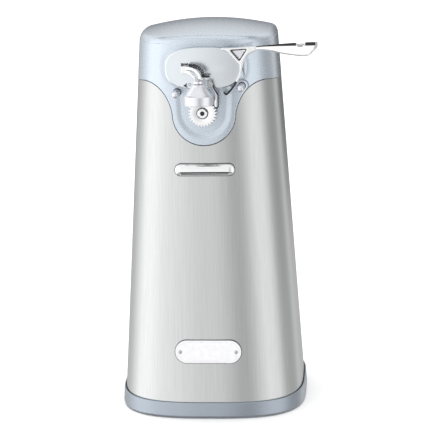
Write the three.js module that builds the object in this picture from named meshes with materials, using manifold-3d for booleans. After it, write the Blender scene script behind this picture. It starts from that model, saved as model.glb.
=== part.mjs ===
// Electric can opener. A brushed stainless sleeve stands on a moulded base and carries a domed head.
// The lever, the cutter, the feed wheel and the lid magnet are on the front of the head; a geared
// motor inside turns the feed wheel. Millimetres, +Z up, the front faces -Y.
import * as THREE from 'three';
import { mergeVertices } from 'three/addons/utils/BufferGeometryUtils.js';
import Module from 'manifold-3d';

const wasm = await Module();
wasm.setup();

// ---- driving dimensions --------------------------------------------------------------------------
const HEIGHT = 244.5;              // table to the top of the dome
const GAP = 0.3;                   // air left between neighbouring pieces
const FOOT_DROP = 1;               // the feet hold the base this far off the table

// body outline: a superellipse at the table that shrinks steadily with height
const HALF_WIDTH = 58.1;
const HALF_DEPTH = 60;
const WIDTH_TAPER = 0.065;         // half width lost per mm of height
const DEPTH_TAPER = 0.0175;        // half depth lost per mm of height
const FRONT_POWER = 3.04;          // corner fullness, front
const REAR_POWER = 4;              // corner fullness, rear
const OUTLINE_POINTS = 40;

const RING = { top: 10.3, proud: 1.2, lip: 7.2, inward: 5.5 };
const SLEEVE = { bottom: 7.5, wall: 1.2 };
const HEAD = { wall: 2.8, edge: 3.2, bottom: 150, sideDrop: 4.4, sideReach: 38, endDrop: 4, endReach: 50 };

// joint line between sleeve and head: a plane that falls to the rear, and a U apron in front
const SEAM = { height: 207.8, fall: 0.087 };
const APRON = { radius: 19.4, centre: 192, shoulderX: 37, shoulderZ: 211.3 };
const RECESS = {
  halfWidth: 26, halfHeight: 13.9, x: 1, z: 220.8, depth: 1.2, apronHalf: 15.5, apronLow: 178,
};

// drive train: one column of shafts parallel to Y at x = 0
const MODULE = 1;
const TEETH = { motorPinion: 10, gearA: 40, pinion: 11, gearB: 36, output: 36, feed: 26 };
const SLACK = 0.35;                // tooth thickness taken off for running clearance
const OUTPUT_Z = 193.8;
const AXLE_B_Z = OUTPUT_Z - MODULE * (TEETH.pinion + TEETH.output) / 2;
const AXLE_A_Z = AXLE_B_Z - MODULE * (TEETH.pinion + TEETH.gearB) / 2;
const ROTOR_Z = AXLE_A_Z - MODULE * (TEETH.motorPinion + TEETH.gearA) / 2;
const LAYER = { a: [-52, -48.4], b: [-47.9, -44.1], c: [-43.6, -39.6] };   // gear layers, front to back
const PLATE_Y = [-36.5, -34.2];    // gear plate
const FEED = { radius: 8.7, front: -66, back: -61.5 };
const SHAFT_RADIUS = 3.4;
const AXLE_RADIUS = 2;
const WHEEL_SPIGOT = 2.2;          // thin end of the output shaft, inside the feed wheel

// motor
const STATOR = { half: 26, front: -26, back: -6, top: 18, bottom: -45, bore: 13.4, leg: 12, window: 14 };
const ROTOR = { radius: 12.8, shaft: 2.2, rear: 14 };

// lever, cutter and lid magnet
const LEVER_PIVOT = { x: -12, z: 220 };
const LEVER_SHAFT = 4;
const OVAL = { x: 0.6, z: 220.4, halfWidth: 23.2, halfHeight: 12.6, power: 2.7 };
const LEVER_Y = {
  back: -58, frame: -60, plateBack: -60.3, plateFront: -62.2, fork: -63.6, gripBack: -59.6, gripFront: -68.4,
};
const GRIP_START = 28;             // x where the lever thickens into the grip
const HANDLE_TIP = 70;
const ARM_PIVOT = { y: -60, z: 221 };
const ARM_WIRE = 1.15;             // radius of the magnet arm's two wires
const MAGNET = { x: -1.1, y: -80, low: 200.9, top: 206.6, radius: 9, neck: 213.2 };
const POSTS = [{ name: 'left', x: -16.1, z: 205.4 }, { name: 'right', x: 23.3, z: 208.7 }];

// front trim
const BAR = { z: 157.8, halfLength: 18.5, radius: 3.8, proud: 3.2 };
const BADGE = { z: 43.1, halfLength: 20.6, radius: 7.3, proud: 1 };

// ---- materials -----------------------------------------------------------------------------------
const FINISHES = {
  stainless: [0xc9cbcc, 0.35, 1],
  housing: [0xbfc8d4, 0.3, 0],
  base: [0xa3adbc, 0.35, 0],
  chrome: [0xf2f2f2, 0.08, 1],
  satin: [0xdce2e8, 0.3, 0.6],
  steel: [0xb5b5b5, 0.3, 1],
  cutter: [0xc8c8c8, 0.2, 1],
  dark: [0x2b2d30, 0.6, 0],
  rubber: [0x202020, 0.9, 0],
  nylon: [0xe9e6da, 0.5, 0],
  laminated: [0x6f7276, 0.5, 1],
  copper: [0xb4703a, 0.35, 1],
  ferrite: [0x3a3a3c, 0.7, 0],
  brass: [0xb89a55, 0.35, 1],
};

const group = new THREE.Group();

function add(name, finish, geometry) {
  const [color, roughness, metalness] = FINISHES[finish];
  const mesh = new THREE.Mesh(geometry, new THREE.MeshStandardMaterial({ color, roughness, metalness }));
  mesh.name = name;
  group.add(mesh);
}

// ---- solids --------------------------------------------------------------------------------------
function solid(geometry) {
  const bare = geometry.clone();
  bare.deleteAttribute('normal');
  bare.deleteAttribute('uv');
  const merged = mergeVertices(bare, 1e-5);
  const vertProperties = new Float32Array(merged.attributes.position.array);
  const triVerts = new Uint32Array(merged.index.array);
  return new wasm.Manifold(new wasm.Mesh({ numProp: 3, vertProperties, triVerts }));
}

function geometryOf(manifold) {
  const { numProp, vertProperties, triVerts } = manifold.getMesh();
  const positions = new Float32Array(vertProperties.length / numProp * 3);
  for (let i = 0; i < positions.length / 3; i++) {
    positions.set(vertProperties.subarray(i * numProp, i * numProp + 3), i * 3);
  }
  const geometry = new THREE.BufferGeometry();
  geometry.setAttribute('position', new THREE.BufferAttribute(positions, 3));
  geometry.setIndex([...triVerts]);
  return geometry;
}

function addSolid(name, finish, manifold) {
  add(name, finish, geometryOf(manifold));
}

function join(...solids) {
  return solids.reduce((sum, next) => sum.add(next));
}

function cut(body, ...tools) {
  return tools.reduce((rest, tool) => rest.subtract(tool), body);
}

// closed solid through a stack of rings that all have the same number of points, lowest first
function loft(rings) {
  const count = rings[0].length;
  const middle = (ring) => [0, 1, 2].map((axis) => ring.reduce((sum, p) => sum + p[axis], 0) / count);
  const positions = [...rings.flat(), middle(rings[0]), middle(rings.at(-1))].flat();
  const bottom = rings.length * count;
  const index = [];
  for (let i = 0; i < count; i++) {
    const next = (i + 1) % count;
    index.push(bottom, next, i);
    for (let r = 0; r + 1 < rings.length; r++) {
      const low = r * count;
      const high = low + count;
      index.push(low + i, low + next, high + next, low + i, high + next, high + i);
    }
    index.push(bottom + 1, bottom - count + i, bottom - count + next);
  }
  const geometry = new THREE.BufferGeometry();
  geometry.setAttribute('position', new THREE.Float32BufferAttribute(positions, 3));
  geometry.setIndex(index);
  return solid(geometry);
}

// a shape drawn in X and Z, extruded along Y between two values
function prismY(shape, yLow, yHigh, bevel = 0, curveSegments = 5) {
  const depth = yHigh - yLow - 2 * bevel;
  const geometry = new THREE.ExtrudeGeometry(shape, {
    depth,
    curveSegments,
    bevelEnabled: bevel > 0,
    bevelThickness: bevel,
    bevelSize: bevel,
    bevelOffset: -bevel,
    bevelSegments: 1,
  });
  geometry.rotateX(Math.PI / 2);
  geometry.translate(0, yHigh - bevel, 0);
  return solid(geometry);
}

// a shape drawn in Y and Z, extruded along X between two values
function prismX(shape, xLow, xHigh) {
  const geometry = new THREE.ExtrudeGeometry(shape, { depth: xHigh - xLow, bevelEnabled: false });
  geometry.rotateX(Math.PI / 2);
  geometry.rotateZ(Math.PI / 2);
  geometry.translate(xLow, 0, 0);
  return solid(geometry);
}

function box(x, y, z) {
  const geometry = new THREE.BoxGeometry(x[1] - x[0], y[1] - y[0], z[1] - z[0]);
  geometry.translate((x[0] + x[1]) / 2, (y[0] + y[1]) / 2, (z[0] + z[1]) / 2);
  return solid(geometry);
}

const around = (middle, half) => [middle - half, middle + half];

function rodX(radius, x, y, z, sides = 16) {
  const geometry = new THREE.CylinderGeometry(radius, radius, x[1] - x[0], sides);
  geometry.rotateZ(Math.PI / 2);
  geometry.translate((x[0] + x[1]) / 2, y, z);
  return solid(geometry);
}

function rodY(radius, y, x, z, sides = 14) {
  const geometry = new THREE.CylinderGeometry(radius, radius, y[1] - y[0], sides);
  geometry.translate(x, (y[0] + y[1]) / 2, z);
  return solid(geometry);
}

function rodZ(radius, z, x, y, sides = 14) {
  const geometry = new THREE.CylinderGeometry(radius, radius, z[1] - z[0], sides);
  geometry.rotateX(Math.PI / 2);
  geometry.translate(x, y, (z[0] + z[1]) / 2);
  return solid(geometry);
}

// turned piece: profile of [radius, distance] pairs about an axis along -Y that starts at a point
function turnedY(profile, x, y, z, sides = 14) {
  const points = profile.map(([radius, along]) => new THREE.Vector2(radius, along));
  const geometry = new THREE.LatheGeometry(points, sides);
  geometry.rotateX(Math.PI);
  geometry.translate(x, y, z);
  return geometry;
}

// turned piece about a vertical axis
function turnedZ(profile, x, y, z, sides = 14) {
  const points = profile.map(([radius, along]) => new THREE.Vector2(radius, along));
  const geometry = new THREE.LatheGeometry(points, sides);
  geometry.rotateX(Math.PI / 2);
  geometry.translate(x, y, z);
  return geometry;
}

function shapeOf(points) {
  return new THREE.Shape(points.map(([x, z]) => new THREE.Vector2(x, z)));
}

function ovalShape(x, z, halfWidth, halfHeight, power, count = 32) {
  const points = [];
  for (let i = 0; i < count; i++) {
    const angle = 2 * Math.PI * i / count;
    points.push([
      x + halfWidth * signedPower(Math.cos(angle), 2 / power),
      z + halfHeight * signedPower(Math.sin(angle), 2 / power),
    ]);
  }
  return shapeOf(points);
}

function stadiumShape(z, halfLength, radius) {
  const shape = new THREE.Shape();
  const straight = halfLength - radius;
  shape.absarc(straight, z, radius, -Math.PI / 2, Math.PI / 2, false);
  shape.absarc(-straight, z, radius, Math.PI / 2, 3 * Math.PI / 2, false);
  return shape;
}

// ---- body outline --------------------------------------------------------------------------------
function signedPower(value, power) {
  return Math.sign(value) * Math.abs(value) ** power;
}

function outlinePoint(index, z, grow) {
  const angle = 2 * Math.PI * index / OUTLINE_POINTS;
  const power = 2 / (Math.sin(angle) < 0 ? FRONT_POWER : REAR_POWER);
  const halfWidth = HALF_WIDTH - WIDTH_TAPER * z + grow;
  const halfDepth = HALF_DEPTH - DEPTH_TAPER * z + grow;
  const x = halfWidth * signedPower(Math.cos(angle), power);
  const y = halfDepth * signedPower(Math.sin(angle), power);
  return [x, y, z];
}

function outlineRing(z, grow = 0) {
  return Array.from({ length: OUTLINE_POINTS }, (_, i) => outlinePoint(i, z, grow));
}

function bodyLoft(zLow, zHigh, grow) {
  return loft([outlineRing(zLow, grow), outlineRing(zHigh, grow)]);
}

// y of the outside of the front wall on the centre line
function frontY(z) {
  return -(HALF_DEPTH - DEPTH_TAPER * z);
}

function domeHeight(x, y) {
  return HEIGHT - HEAD.sideDrop * (x / HEAD.sideReach) ** 2 - HEAD.endDrop * (y / HEAD.endReach) ** 2;
}

// the head's outside (grow 0) or a skin inside it (grow < 0), with a rounded edge below the dome
function headLoft(grow, edge) {
  const rings = [outlineRing(HEAD.bottom, grow)];
  for (const turn of [0, 45, 90]) {
    const angle = THREE.MathUtils.degToRad(turn);
    const inset = edge * (1 - Math.cos(angle));
    const ring = outlineRing(HEIGHT - edge, grow - inset);
    rings.push(ring.map(([x, y]) => [x, y, domeHeight(x, y) + grow - edge * (1 - Math.sin(angle))]));
  }
  const rim = rings.at(-1);
  for (const scale of [0.62, 0.22]) {
    rings.push(rim.map(([x, y]) => [x * scale, y * scale, domeHeight(x * scale, y * scale) + grow]));
  }
  return loft(rings);
}

// everything above the joint line, drawn back by a margin
function aboveSeam(margin) {
  const reach = 90;
  const top = HEIGHT + 20;
  const seam = (y) => SEAM.height - SEAM.fall * y + margin;
  const section = shapeOf([[-reach, seam(-reach)], [reach, seam(reach)], [reach, top], [-reach, top]]);
  return prismX(section, -reach, reach).add(prismY(apronShape(margin), -reach, -20, 0, 7));
}

// the apron: a round bottom and two shoulders that sweep out to the joint plane
function apronShape(margin) {
  const radius = APRON.radius - margin;
  const shoulderX = APRON.shoulderX - margin;
  const shoulderZ = APRON.shoulderZ + margin;
  const rise = shoulderZ - APRON.centre;
  const shape = new THREE.Shape();
  shape.moveTo(-shoulderX, shoulderZ);
  shape.bezierCurveTo(-26.5 + margin, shoulderZ - 0.5, -20.8 + margin, APRON.centre + 0.44 * rise,
    -radius, APRON.centre);
  shape.absarc(0, APRON.centre, radius, Math.PI, 2 * Math.PI, false);
  shape.bezierCurveTo(20.8 - margin, APRON.centre + 0.44 * rise, 26.5 - margin, shoulderZ - 0.5,
    shoulderX, shoulderZ);
  shape.lineTo(shoulderX, shoulderZ + 12);
  shape.lineTo(-shoulderX, shoulderZ + 12);
  return shape;
}

// ---- base, sleeve and head -----------------------------------------------------------------------
const BASE_SCREWS = [[-18, -44], [18, -44], [-18, 44], [18, 44]];
const FOOT_PLACES = {
  front_left: [-35, -36], front_right: [35, -36], rear_left: [-37, 39], rear_right: [37, 39],
};
const FOOT_RADIUS = 6;
const FLOOR = { low: 1.3, high: 4.3 };
const SCREW = { shank: 1.5, head: 3, headHeight: 1.8 };
const HEAD_SCREWS = { x: [-22, 22], z: 215, seat: 53.9 };
const CROSS = { long: 1.8, thin: 0.35 };      // half sizes of a screw's cross recess
const GLAND = { z: 24, hole: 6.3, flange: 8.4, body: 6, slotHalf: 3.9, slotHeight: 1.9 };

function baseRing() {
  const outside = loft([
    outlineRing(FOOT_DROP, RING.proud - 0.8),
    outlineRing(FOOT_DROP + 0.8, RING.proud),
    outlineRing(RING.top - 0.8, RING.proud),
    outlineRing(RING.top, RING.proud - 0.45),
  ]);
  const seat = bodyLoft(RING.lip, RING.top + 2, GAP);
  const opening = bodyLoft(0, RING.top + 2, -RING.inward);
  return cut(outside, seat, opening);
}

function basePlate() {
  const floor = bodyLoft(FLOOR.low, FLOOR.high, -RING.inward - GAP);
  const pockets = Object.values(FOOT_PLACES).map(([x, y]) => rodZ(FOOT_RADIUS + GAP, [0, 2.8], x, y, 14));
  const holes = BASE_SCREWS.map(([x, y]) => rodZ(SCREW.shank + GAP, [0, 9], x, y, 10));
  const sinkTop = FLOOR.low + SCREW.headHeight;
  const sinks = BASE_SCREWS.map(([x, y]) => rodZ(SCREW.head + GAP, [0, sinkTop], x, y, 16));
  const slots = [-2, -1, 0, 1, 2].map((row) => box([-16, 16], [row * 8 - 1.5, row * 8 + 1.5], [0, 9]));
  return cut(floor, ...pockets, ...holes, ...sinks, ...slots);
}

function foot([x, y]) {
  const profile = [[0, 0], [FOOT_RADIUS - 0.6, 0], [FOOT_RADIUS, 0.6], [FOOT_RADIUS, 2.5], [0, 2.5]];
  return turnedZ(profile, x, y, 0, 24);
}

// a pan-head screw along +Z with its head underneath, with a crossed drive slot
function baseScrew([x, y]) {
  const low = FLOOR.low + 0.2;
  const profile = [[0, 0], [SCREW.head, 0], [SCREW.head, 1.3], [SCREW.shank, 1.4], [SCREW.shank, 9], [0, 10]];
  const blank = solid(turnedZ(profile, x, y, low, 10));
  const across = box([x - 1.8, x + 1.8], [y - 0.35, y + 0.35], [low - 1, low + 0.8]);
  const along = box([x - 0.35, x + 0.35], [y - 1.8, y + 1.8], [low - 1, low + 0.8]);
  return cut(blank, across, along);
}

function bodySleeve() {
  const shell = cut(bodyLoft(SLEEVE.bottom, 220, 0), bodyLoft(0, 230, -SLEEVE.wall));
  const glandHole = rodY(GLAND.hole, [40, 80], 0, GLAND.z, 16);
  return cut(shell, aboveSeam(0), glandHole);
}

// the shallow recesses that the lever plate and the feed wheel sit in
function frontRecess() {
  const oval = ovalShape(RECESS.x, RECESS.z, RECESS.halfWidth, RECESS.halfHeight, 2.6);
  const apron = new THREE.Shape();
  const centre = RECESS.apronLow + RECESS.apronHalf;
  apron.absarc(0, centre, RECESS.apronHalf, Math.PI, 2 * Math.PI, false);
  apron.lineTo(RECESS.apronHalf + 1, RECESS.z);
  apron.lineTo(-RECESS.apronHalf - 1, RECESS.z);
  const area = prismY(oval, -90, -20).add(prismY(apron, -90, -20));
  return area.subtract(headLoft(-RECESS.depth, HEAD.edge - RECESS.depth));
}

function headHousing() {
  const outside = headLoft(0, HEAD.edge);
  const inside = headLoft(-HEAD.wall, HEAD.edge - HEAD.wall);
  const boss = rodY(LEVER_SHAFT + 3.3, [-53.4, -42], LEVER_PIVOT.x, LEVER_PIVOT.z, 16);
  const shell = join(cut(outside, inside).intersect(aboveSeam(GAP)), boss.intersect(outside));
  const shaftHole = rodY(LEVER_SHAFT + GAP, [-80, -30], LEVER_PIVOT.x, LEVER_PIVOT.z, 16);
  const outputHole = rodY(SHAFT_RADIUS + 3.3, [-80, -40], 0, OUTPUT_Z, 16);
  const postHoles = POSTS.map(({ x, z }) => rodY(1.8, [-80, -40], x, z, 10));
  const screwHoles = HEAD_SCREWS.x.map((x) => rodY(SCREW.shank + GAP, [40, 80], x, HEAD_SCREWS.z, 10));
  const sinkSpan = [HEAD_SCREWS.seat, 80];
  const sinks = HEAD_SCREWS.x.map((x) => rodY(SCREW.head + GAP, sinkSpan, x, HEAD_SCREWS.z, 16));
  return cut(shell, frontRecess(), shaftHole, outputHole, ...postHoles, ...screwHoles, ...sinks);
}

// countersunk screw of the head's rear wall, driven in towards -Y
function headScrew(x) {
  const profile = [[0, 0], [SCREW.head, 0], [SCREW.head, 0.6], [SCREW.shank, 1.2], [SCREW.shank, 9], [0, 10]];
  const seat = HEAD_SCREWS.seat + 1.4;
  const blank = solid(turnedY(profile, x, seat, HEAD_SCREWS.z, 10));
  const depth = [seat - 0.5, seat + 1];
  const across = box(around(x, CROSS.long), depth, around(HEAD_SCREWS.z, CROSS.thin));
  const upright = box(around(x, CROSS.thin), depth, around(HEAD_SCREWS.z, CROSS.long));
  return cut(blank, across, upright);
}

// cable bush of the rear wall: a flange outside, a body through the wall and a flat slot for a lead
function cordGland() {
  const wall = HALF_DEPTH - DEPTH_TAPER * GLAND.z;
  const depth = 9;
  const body = rodY(GLAND.body, [wall - depth, wall + 0.3], 0, GLAND.z, 16);
  const flange = rodY(GLAND.flange, [wall + 0.4, wall + 2], 0, GLAND.z, 16);
  const neck = rodY(GLAND.body, [wall, wall + 1], 0, GLAND.z, 16);
  const half = GLAND.slotHalf;
  const slot = box([-half, half], [0, 90], [GLAND.z - GLAND.slotHeight, GLAND.z + GLAND.slotHeight]);
  return cut(join(body, neck, flange), slot);
}

function buildBody() {
  addSolid('base_ring', 'base', baseRing());
  addSolid('base_plate', 'dark', basePlate());
  for (const [place, centre] of Object.entries(FOOT_PLACES)) {
    add(`foot_${place}`, 'rubber', foot(centre));
  }
  BASE_SCREWS.forEach((centre, i) => addSolid(`base_screw_${i + 1}`, 'steel', baseScrew(centre)));
  addSolid('body_sleeve', 'stainless', bodySleeve());
  addSolid('head_housing', 'housing', headHousing());
  HEAD_SCREWS.x.forEach((x, i) => addSolid(`head_screw_${i + 1}`, 'steel', headScrew(x)));
  addSolid('cord_gland', 'dark', cordGland());
}

// ---- front trim ----------------------------------------------------------------------------------
// a piece cut from a shape in the front view, standing on the front wall
function onFront(shape, proud, z) {
  const back = bodyLoft(z - 30, z + 30, GAP);
  const face = frontY(z) - proud;
  return prismY(shape, face, -30).subtract(back);
}

// half-round bar with rounded ends: a stack of ever smaller stadiums
function canRestBar() {
  const face = frontY(BAR.z);
  const steps = 4;
  let bar = null;
  for (let i = 0; i < steps; i++) {
    const height = BAR.proud * (i + 1) / steps;
    const radius = BAR.radius * Math.sqrt(1 - (i / steps) ** 2);
    const inset = BAR.radius - radius;
    const slice = prismY(stadiumShape(BAR.z, BAR.halfLength - inset, radius), face - height, -40);
    bar = bar ? bar.add(slice) : slice;
  }
  return bar.subtract(bodyLoft(BAR.z - 20, BAR.z + 20, GAP));
}

function badge() {
  const plate = onFront(stadiumShape(BADGE.z, BADGE.halfLength, BADGE.radius), BADGE.proud, BADGE.z);
  const holes = [-1, 1].map((side) => rodY(0.8, [-80, -30], side * (BADGE.halfLength - 3.2), BADGE.z, 12));
  return cut(plate, ...holes);
}

function badgeRivet(side) {
  const x = side * (BADGE.halfLength - 3.2);
  const profile = [[0, 0], [0.5, 0], [0.5, 1.3], [1.1, 1.3], [0.9, 1.8], [0, 2]];
  return turnedY(profile, x, frontY(BADGE.z) + 0.2 - 2 * GAP, BADGE.z, 12);
}

// stud with a rounded nose; its shank goes through the wall of the head
function guidePost({ x, z }) {
  const seat = -56.9;
  const profile = [[0, -5], [1.5, -5], [1.5, 0], [2.1, 0], [2.1, 11], [1.6, 11.9], [0.7, 12.4], [0, 12.5]];
  return turnedY(profile, x, seat, z, 12);
}

function buildTrim() {
  addSolid('can_rest_bar', 'chrome', canRestBar());
  addSolid('badge', 'satin', badge());
  add('badge_rivet_left', 'steel', badgeRivet(-1));
  add('badge_rivet_right', 'steel', badgeRivet(1));
  for (const post of POSTS) {
    add(`guide_post_${post.name}`, 'chrome', guidePost(post));
  }
}

// ---- inner frame and gear plate ------------------------------------------------------------------
const FRAME = { inner: 33, outer: 36, front: -33.9, back: 30, wall: 3, low: 4.6, flange: 7.6, top: 200 };
const PLATE_SCREWS = [[-32, 106], [32, 106], [32, 194]];
const BOLT_X = 20.5;
const BOLT_RADIUS = 1.5;

function innerFrame() {
  const plinth = box([-FRAME.outer, FRAME.outer], [-46, 46], [FRAME.low, FRAME.flange]);
  const flange = cut(plinth, box([-20, 20], [-26, 26], [0, 20]));
  const ribs = [-1, 1].map((side) => {
    const near = Math.min(side * FRAME.inner, side * FRAME.outer);
    return box([near, near + FRAME.wall], [FRAME.front, FRAME.back + FRAME.wall], [FRAME.low, FRAME.top]);
  });
  const back = box([-FRAME.outer, FRAME.outer], [FRAME.back, FRAME.back + FRAME.wall], [FRAME.low, 219]);
  const windows = [48, 100, 152].map((z) => box([-22, 22], [0, 60], [z - 18, z + 18]));
  const plateBosses = PLATE_SCREWS.map(([x, z]) => box([x - 4, x + 4], [FRAME.front, -24], [z - 4, z + 4]));
  const baseBosses = BASE_SCREWS.map(([x, y]) => rodZ(3.4, [FRAME.low, 14], x, y, 16));
  const headBosses = HEAD_SCREWS.x.map((x) => rodY(3.6, [FRAME.back, 50], x, HEAD_SCREWS.z, 16));
  const frame = join(flange, ...ribs, cut(back, ...windows), ...plateBosses, ...baseBosses, ...headBosses);
  const hole = SCREW.shank + GAP;
  const plateHoles = PLATE_SCREWS.map(([x, z]) => rodY(hole, [-60, -26], x, z, 10));
  const baseHoles = BASE_SCREWS.map(([x, y]) => rodZ(hole, [0, 12.6], x, y, 10));
  const headHoles = HEAD_SCREWS.x.map((x) => rodY(hole, [44, 60], x, HEAD_SCREWS.z, 10));
  return cut(frame, ...plateHoles, ...baseHoles, ...headHoles);
}

function gearPlate() {
  const outline = shapeOf([
    [-36, 100], [36, 100], [36, 200], [19, 204], [19, 215.5], [-6, 215.5], [-6, 204], [-36, 200],
  ]);
  const plate = prismY(outline, ...PLATE_Y);
  const standoffs = [-1, 1].map((side) => rodY(4, [PLATE_Y[0], -31.5], side * BOLT_X, ROTOR_Z));
  const boltHoles = [-1, 1].map((side) => rodY(BOLT_RADIUS + GAP, [-60, -20], side * BOLT_X, ROTOR_Z, 10));
  const axleHoles = [AXLE_A_Z, AXLE_B_Z].map((z) => rodY(AXLE_RADIUS + GAP, [-60, -20], 0, z, 16));
  const rotorHole = rodY(5, [-60, -20], 0, ROTOR_Z);
  const shaftHole = rodY(SHAFT_RADIUS + GAP, [-60, -20], 0, OUTPUT_Z);
  const screwHoles = PLATE_SCREWS.map(([x, z]) => rodY(SCREW.shank + GAP, [-60, -20], x, z, 10));
  return cut(join(plate, ...standoffs), ...boltHoles, ...axleHoles, rotorHole, shaftHole, ...screwHoles);
}

function plateScrew([x, z]) {
  const seat = PLATE_Y[0] - GAP;
  const profile = [
    [0, -9], [SCREW.shank, -8], [SCREW.shank, 0], [SCREW.head, 0.1], [SCREW.head, 1.4], [0, 1.8],
  ];
  return turnedY(profile, x, seat, z, 12);
}

function buildFrame() {
  addSolid('inner_frame', 'dark', innerFrame());
  addSolid('gear_plate', 'steel', gearPlate());
  PLATE_SCREWS.forEach((centre, i) => add(`plate_screw_${i + 1}`, 'steel', plateScrew(centre)));
}

// ---- gears ---------------------------------------------------------------------------------------
// involute flanks of 20 degrees; phase is the direction of one tooth's centre, from +X towards +Z
function gearShape(teeth, z, phase) {
  const pitchRadius = MODULE * teeth / 2;
  const baseRadius = pitchRadius * Math.cos(Math.PI / 9);
  const involute = (angle) => Math.tan(angle) - angle;
  const halfAt = (radius) => {
    const angle = Math.acos(Math.min(1, baseRadius / radius));
    return (Math.PI * MODULE / 2 - SLACK) / (2 * pitchRadius) + involute(Math.PI / 9) - involute(angle);
  };
  const root = pitchRadius - 1.25 * MODULE;
  const tip = pitchRadius + 0.9 * MODULE;
  const levels = teeth < 20 ? [root, pitchRadius, tip] : [root, tip];
  const points = [];
  for (let tooth = 0; tooth < teeth; tooth++) {
    const centre = phase + 2 * Math.PI * tooth / teeth;
    for (const radius of levels) {
      points.push(polar(radius, centre - halfAt(radius), z));
    }
    for (const radius of levels.toReversed()) {
      points.push(polar(radius, centre + halfAt(radius), z));
    }
  }
  return shapeOf(points);
}

function polar(radius, angle, z) {
  return [radius * Math.cos(angle), z + radius * Math.sin(angle)];
}

// a wheel whose lowest point is a gap, meshing with a pinion whose highest point is a tooth
function gearWheel(teeth, z, layer, bore) {
  const lowestGap = -Math.PI / 2 + Math.PI / teeth;
  const wheel = prismY(gearShape(teeth, z, lowestGap), ...layer);
  return cut(wheel, rodY(bore, [-80, -20], 0, z));
}

function pinion(teeth, z, layer, bore) {
  return cut(prismY(gearShape(teeth, z, Math.PI / 2), ...layer), rodY(bore, [-80, -20], 0, z));
}

function axle(z) {
  const length = 18;
  const profile = [
    [0, -length - 0.6], [3, -length - 0.6], [3, -length], [AXLE_RADIUS, -length],
    [AXLE_RADIUS, 0.3], [3.2, 0.3], [3.2, 1], [0, 1],
  ];
  return turnedY(profile, 0, LAYER.a[0], z, 10);
}

// drive shaft of the feed wheel: a full diameter through the gear and bush, a thinner end in the wheel
function outputShaft() {
  const rear = PLATE_Y[1] + 1;
  const shoulder = rear + 61;
  const end = rear + 65.7;
  const profile = [
    [0, 0], [SHAFT_RADIUS, 0], [SHAFT_RADIUS, shoulder],
    [WHEEL_SPIGOT, shoulder], [WHEEL_SPIGOT, end], [0, end],
  ];
  return turnedY(profile, 0, rear, OUTPUT_Z);
}

function outputBush() {
  return cut(rodY(6.3, [-58, -48.4], 0, OUTPUT_Z, 16), rodY(SHAFT_RADIUS + GAP, [-80, -20], 0, OUTPUT_Z));
}

function feedWheel() {
  const pitch = 2 * Math.PI / TEETH.feed;
  const points = [];
  for (let tooth = 0; tooth < TEETH.feed; tooth++) {
    const start = tooth * pitch;
    points.push(polar(FEED.radius, start, OUTPUT_Z));
    points.push(polar(FEED.radius, start + 0.4 * pitch, OUTPUT_Z));
    points.push(polar(FEED.radius - 1.1, start + 0.7 * pitch, OUTPUT_Z));
  }
  const disc = prismY(shapeOf(points), FEED.front, FEED.back);
  const hub = rodY(5.2, [FEED.back - 1, -58.4], 0, OUTPUT_Z);
  const rearBore = rodY(SHAFT_RADIUS + GAP, [-61.5, -50], 0, OUTPUT_Z);
  const frontBore = rodY(WHEEL_SPIGOT + GAP, [-80, -50], 0, OUTPUT_Z, 16);
  return cut(join(disc, hub), rearBore, frontBore);
}

function wheelNut() {
  const profile = [[0, 0], [3.1, 0], [3.1, 0.8], [2.7, 1.2], [1.1, 1.2], [1.1, 0.4], [0, 0.4]];
  return turnedY(profile, 0, FEED.front - GAP, OUTPUT_Z);
}

function buildDrive() {
  const axleBore = AXLE_RADIUS + GAP;
  addSolid('gear_a', 'nylon', gearWheel(TEETH.gearA, AXLE_A_Z, LAYER.a, axleBore));
  addSolid('pinion_a', 'steel', pinion(TEETH.pinion, AXLE_A_Z, LAYER.b, axleBore));
  addSolid('gear_b', 'steel', gearWheel(TEETH.gearB, AXLE_B_Z, LAYER.b, axleBore));
  addSolid('pinion_b', 'steel', pinion(TEETH.pinion, AXLE_B_Z, LAYER.c, axleBore));
  addSolid('output_gear', 'steel', gearWheel(TEETH.output, OUTPUT_Z, LAYER.c, SHAFT_RADIUS + GAP));
  add('axle_a', 'steel', axle(AXLE_A_Z));
  add('axle_b', 'steel', axle(AXLE_B_Z));
  add('output_shaft', 'steel', outputShaft());
  addSolid('output_bush', 'brass', outputBush());
  addSolid('feed_wheel', 'cutter', feedWheel());
  add('wheel_nut', 'cutter', wheelNut());
}

// ---- motor ---------------------------------------------------------------------------------------
function statorCore() {
  const low = ROTOR_Z + STATOR.bottom;
  const high = ROTOR_Z + STATOR.top;
  const core = box([-STATOR.half, STATOR.half], [STATOR.front, STATOR.back], [low, high]);
  const bore = rodY(STATOR.bore, [-60, 20], 0, ROTOR_Z, 20);
  const windowTop = ROTOR_Z - STATOR.bore - 3.6;
  const window = box([-STATOR.window, STATOR.window], [-60, 20], [low + STATOR.leg, windowTop]);
  const bolts = [-1, 1].map((side) => rodY(BOLT_RADIUS + GAP, [-60, 20], side * BOLT_X, ROTOR_Z, 10));
  return cut(core, bore, window, ...bolts);
}

// winding round the lower leg of the core: a tube along X with rounded corners
function statorCoil() {
  const low = ROTOR_Z + STATOR.bottom;
  const middleY = (STATOR.front + STATOR.back) / 2;
  const middleZ = low + STATOR.leg / 2;
  const outside = prismX(ovalShape(middleY, middleZ, 17.2, 13, 5), -12, 12);
  const leg = box([-20, 20], [STATOR.front - GAP, STATOR.back + GAP], [low - GAP, low + STATOR.leg + GAP]);
  return cut(outside, leg);
}

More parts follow.
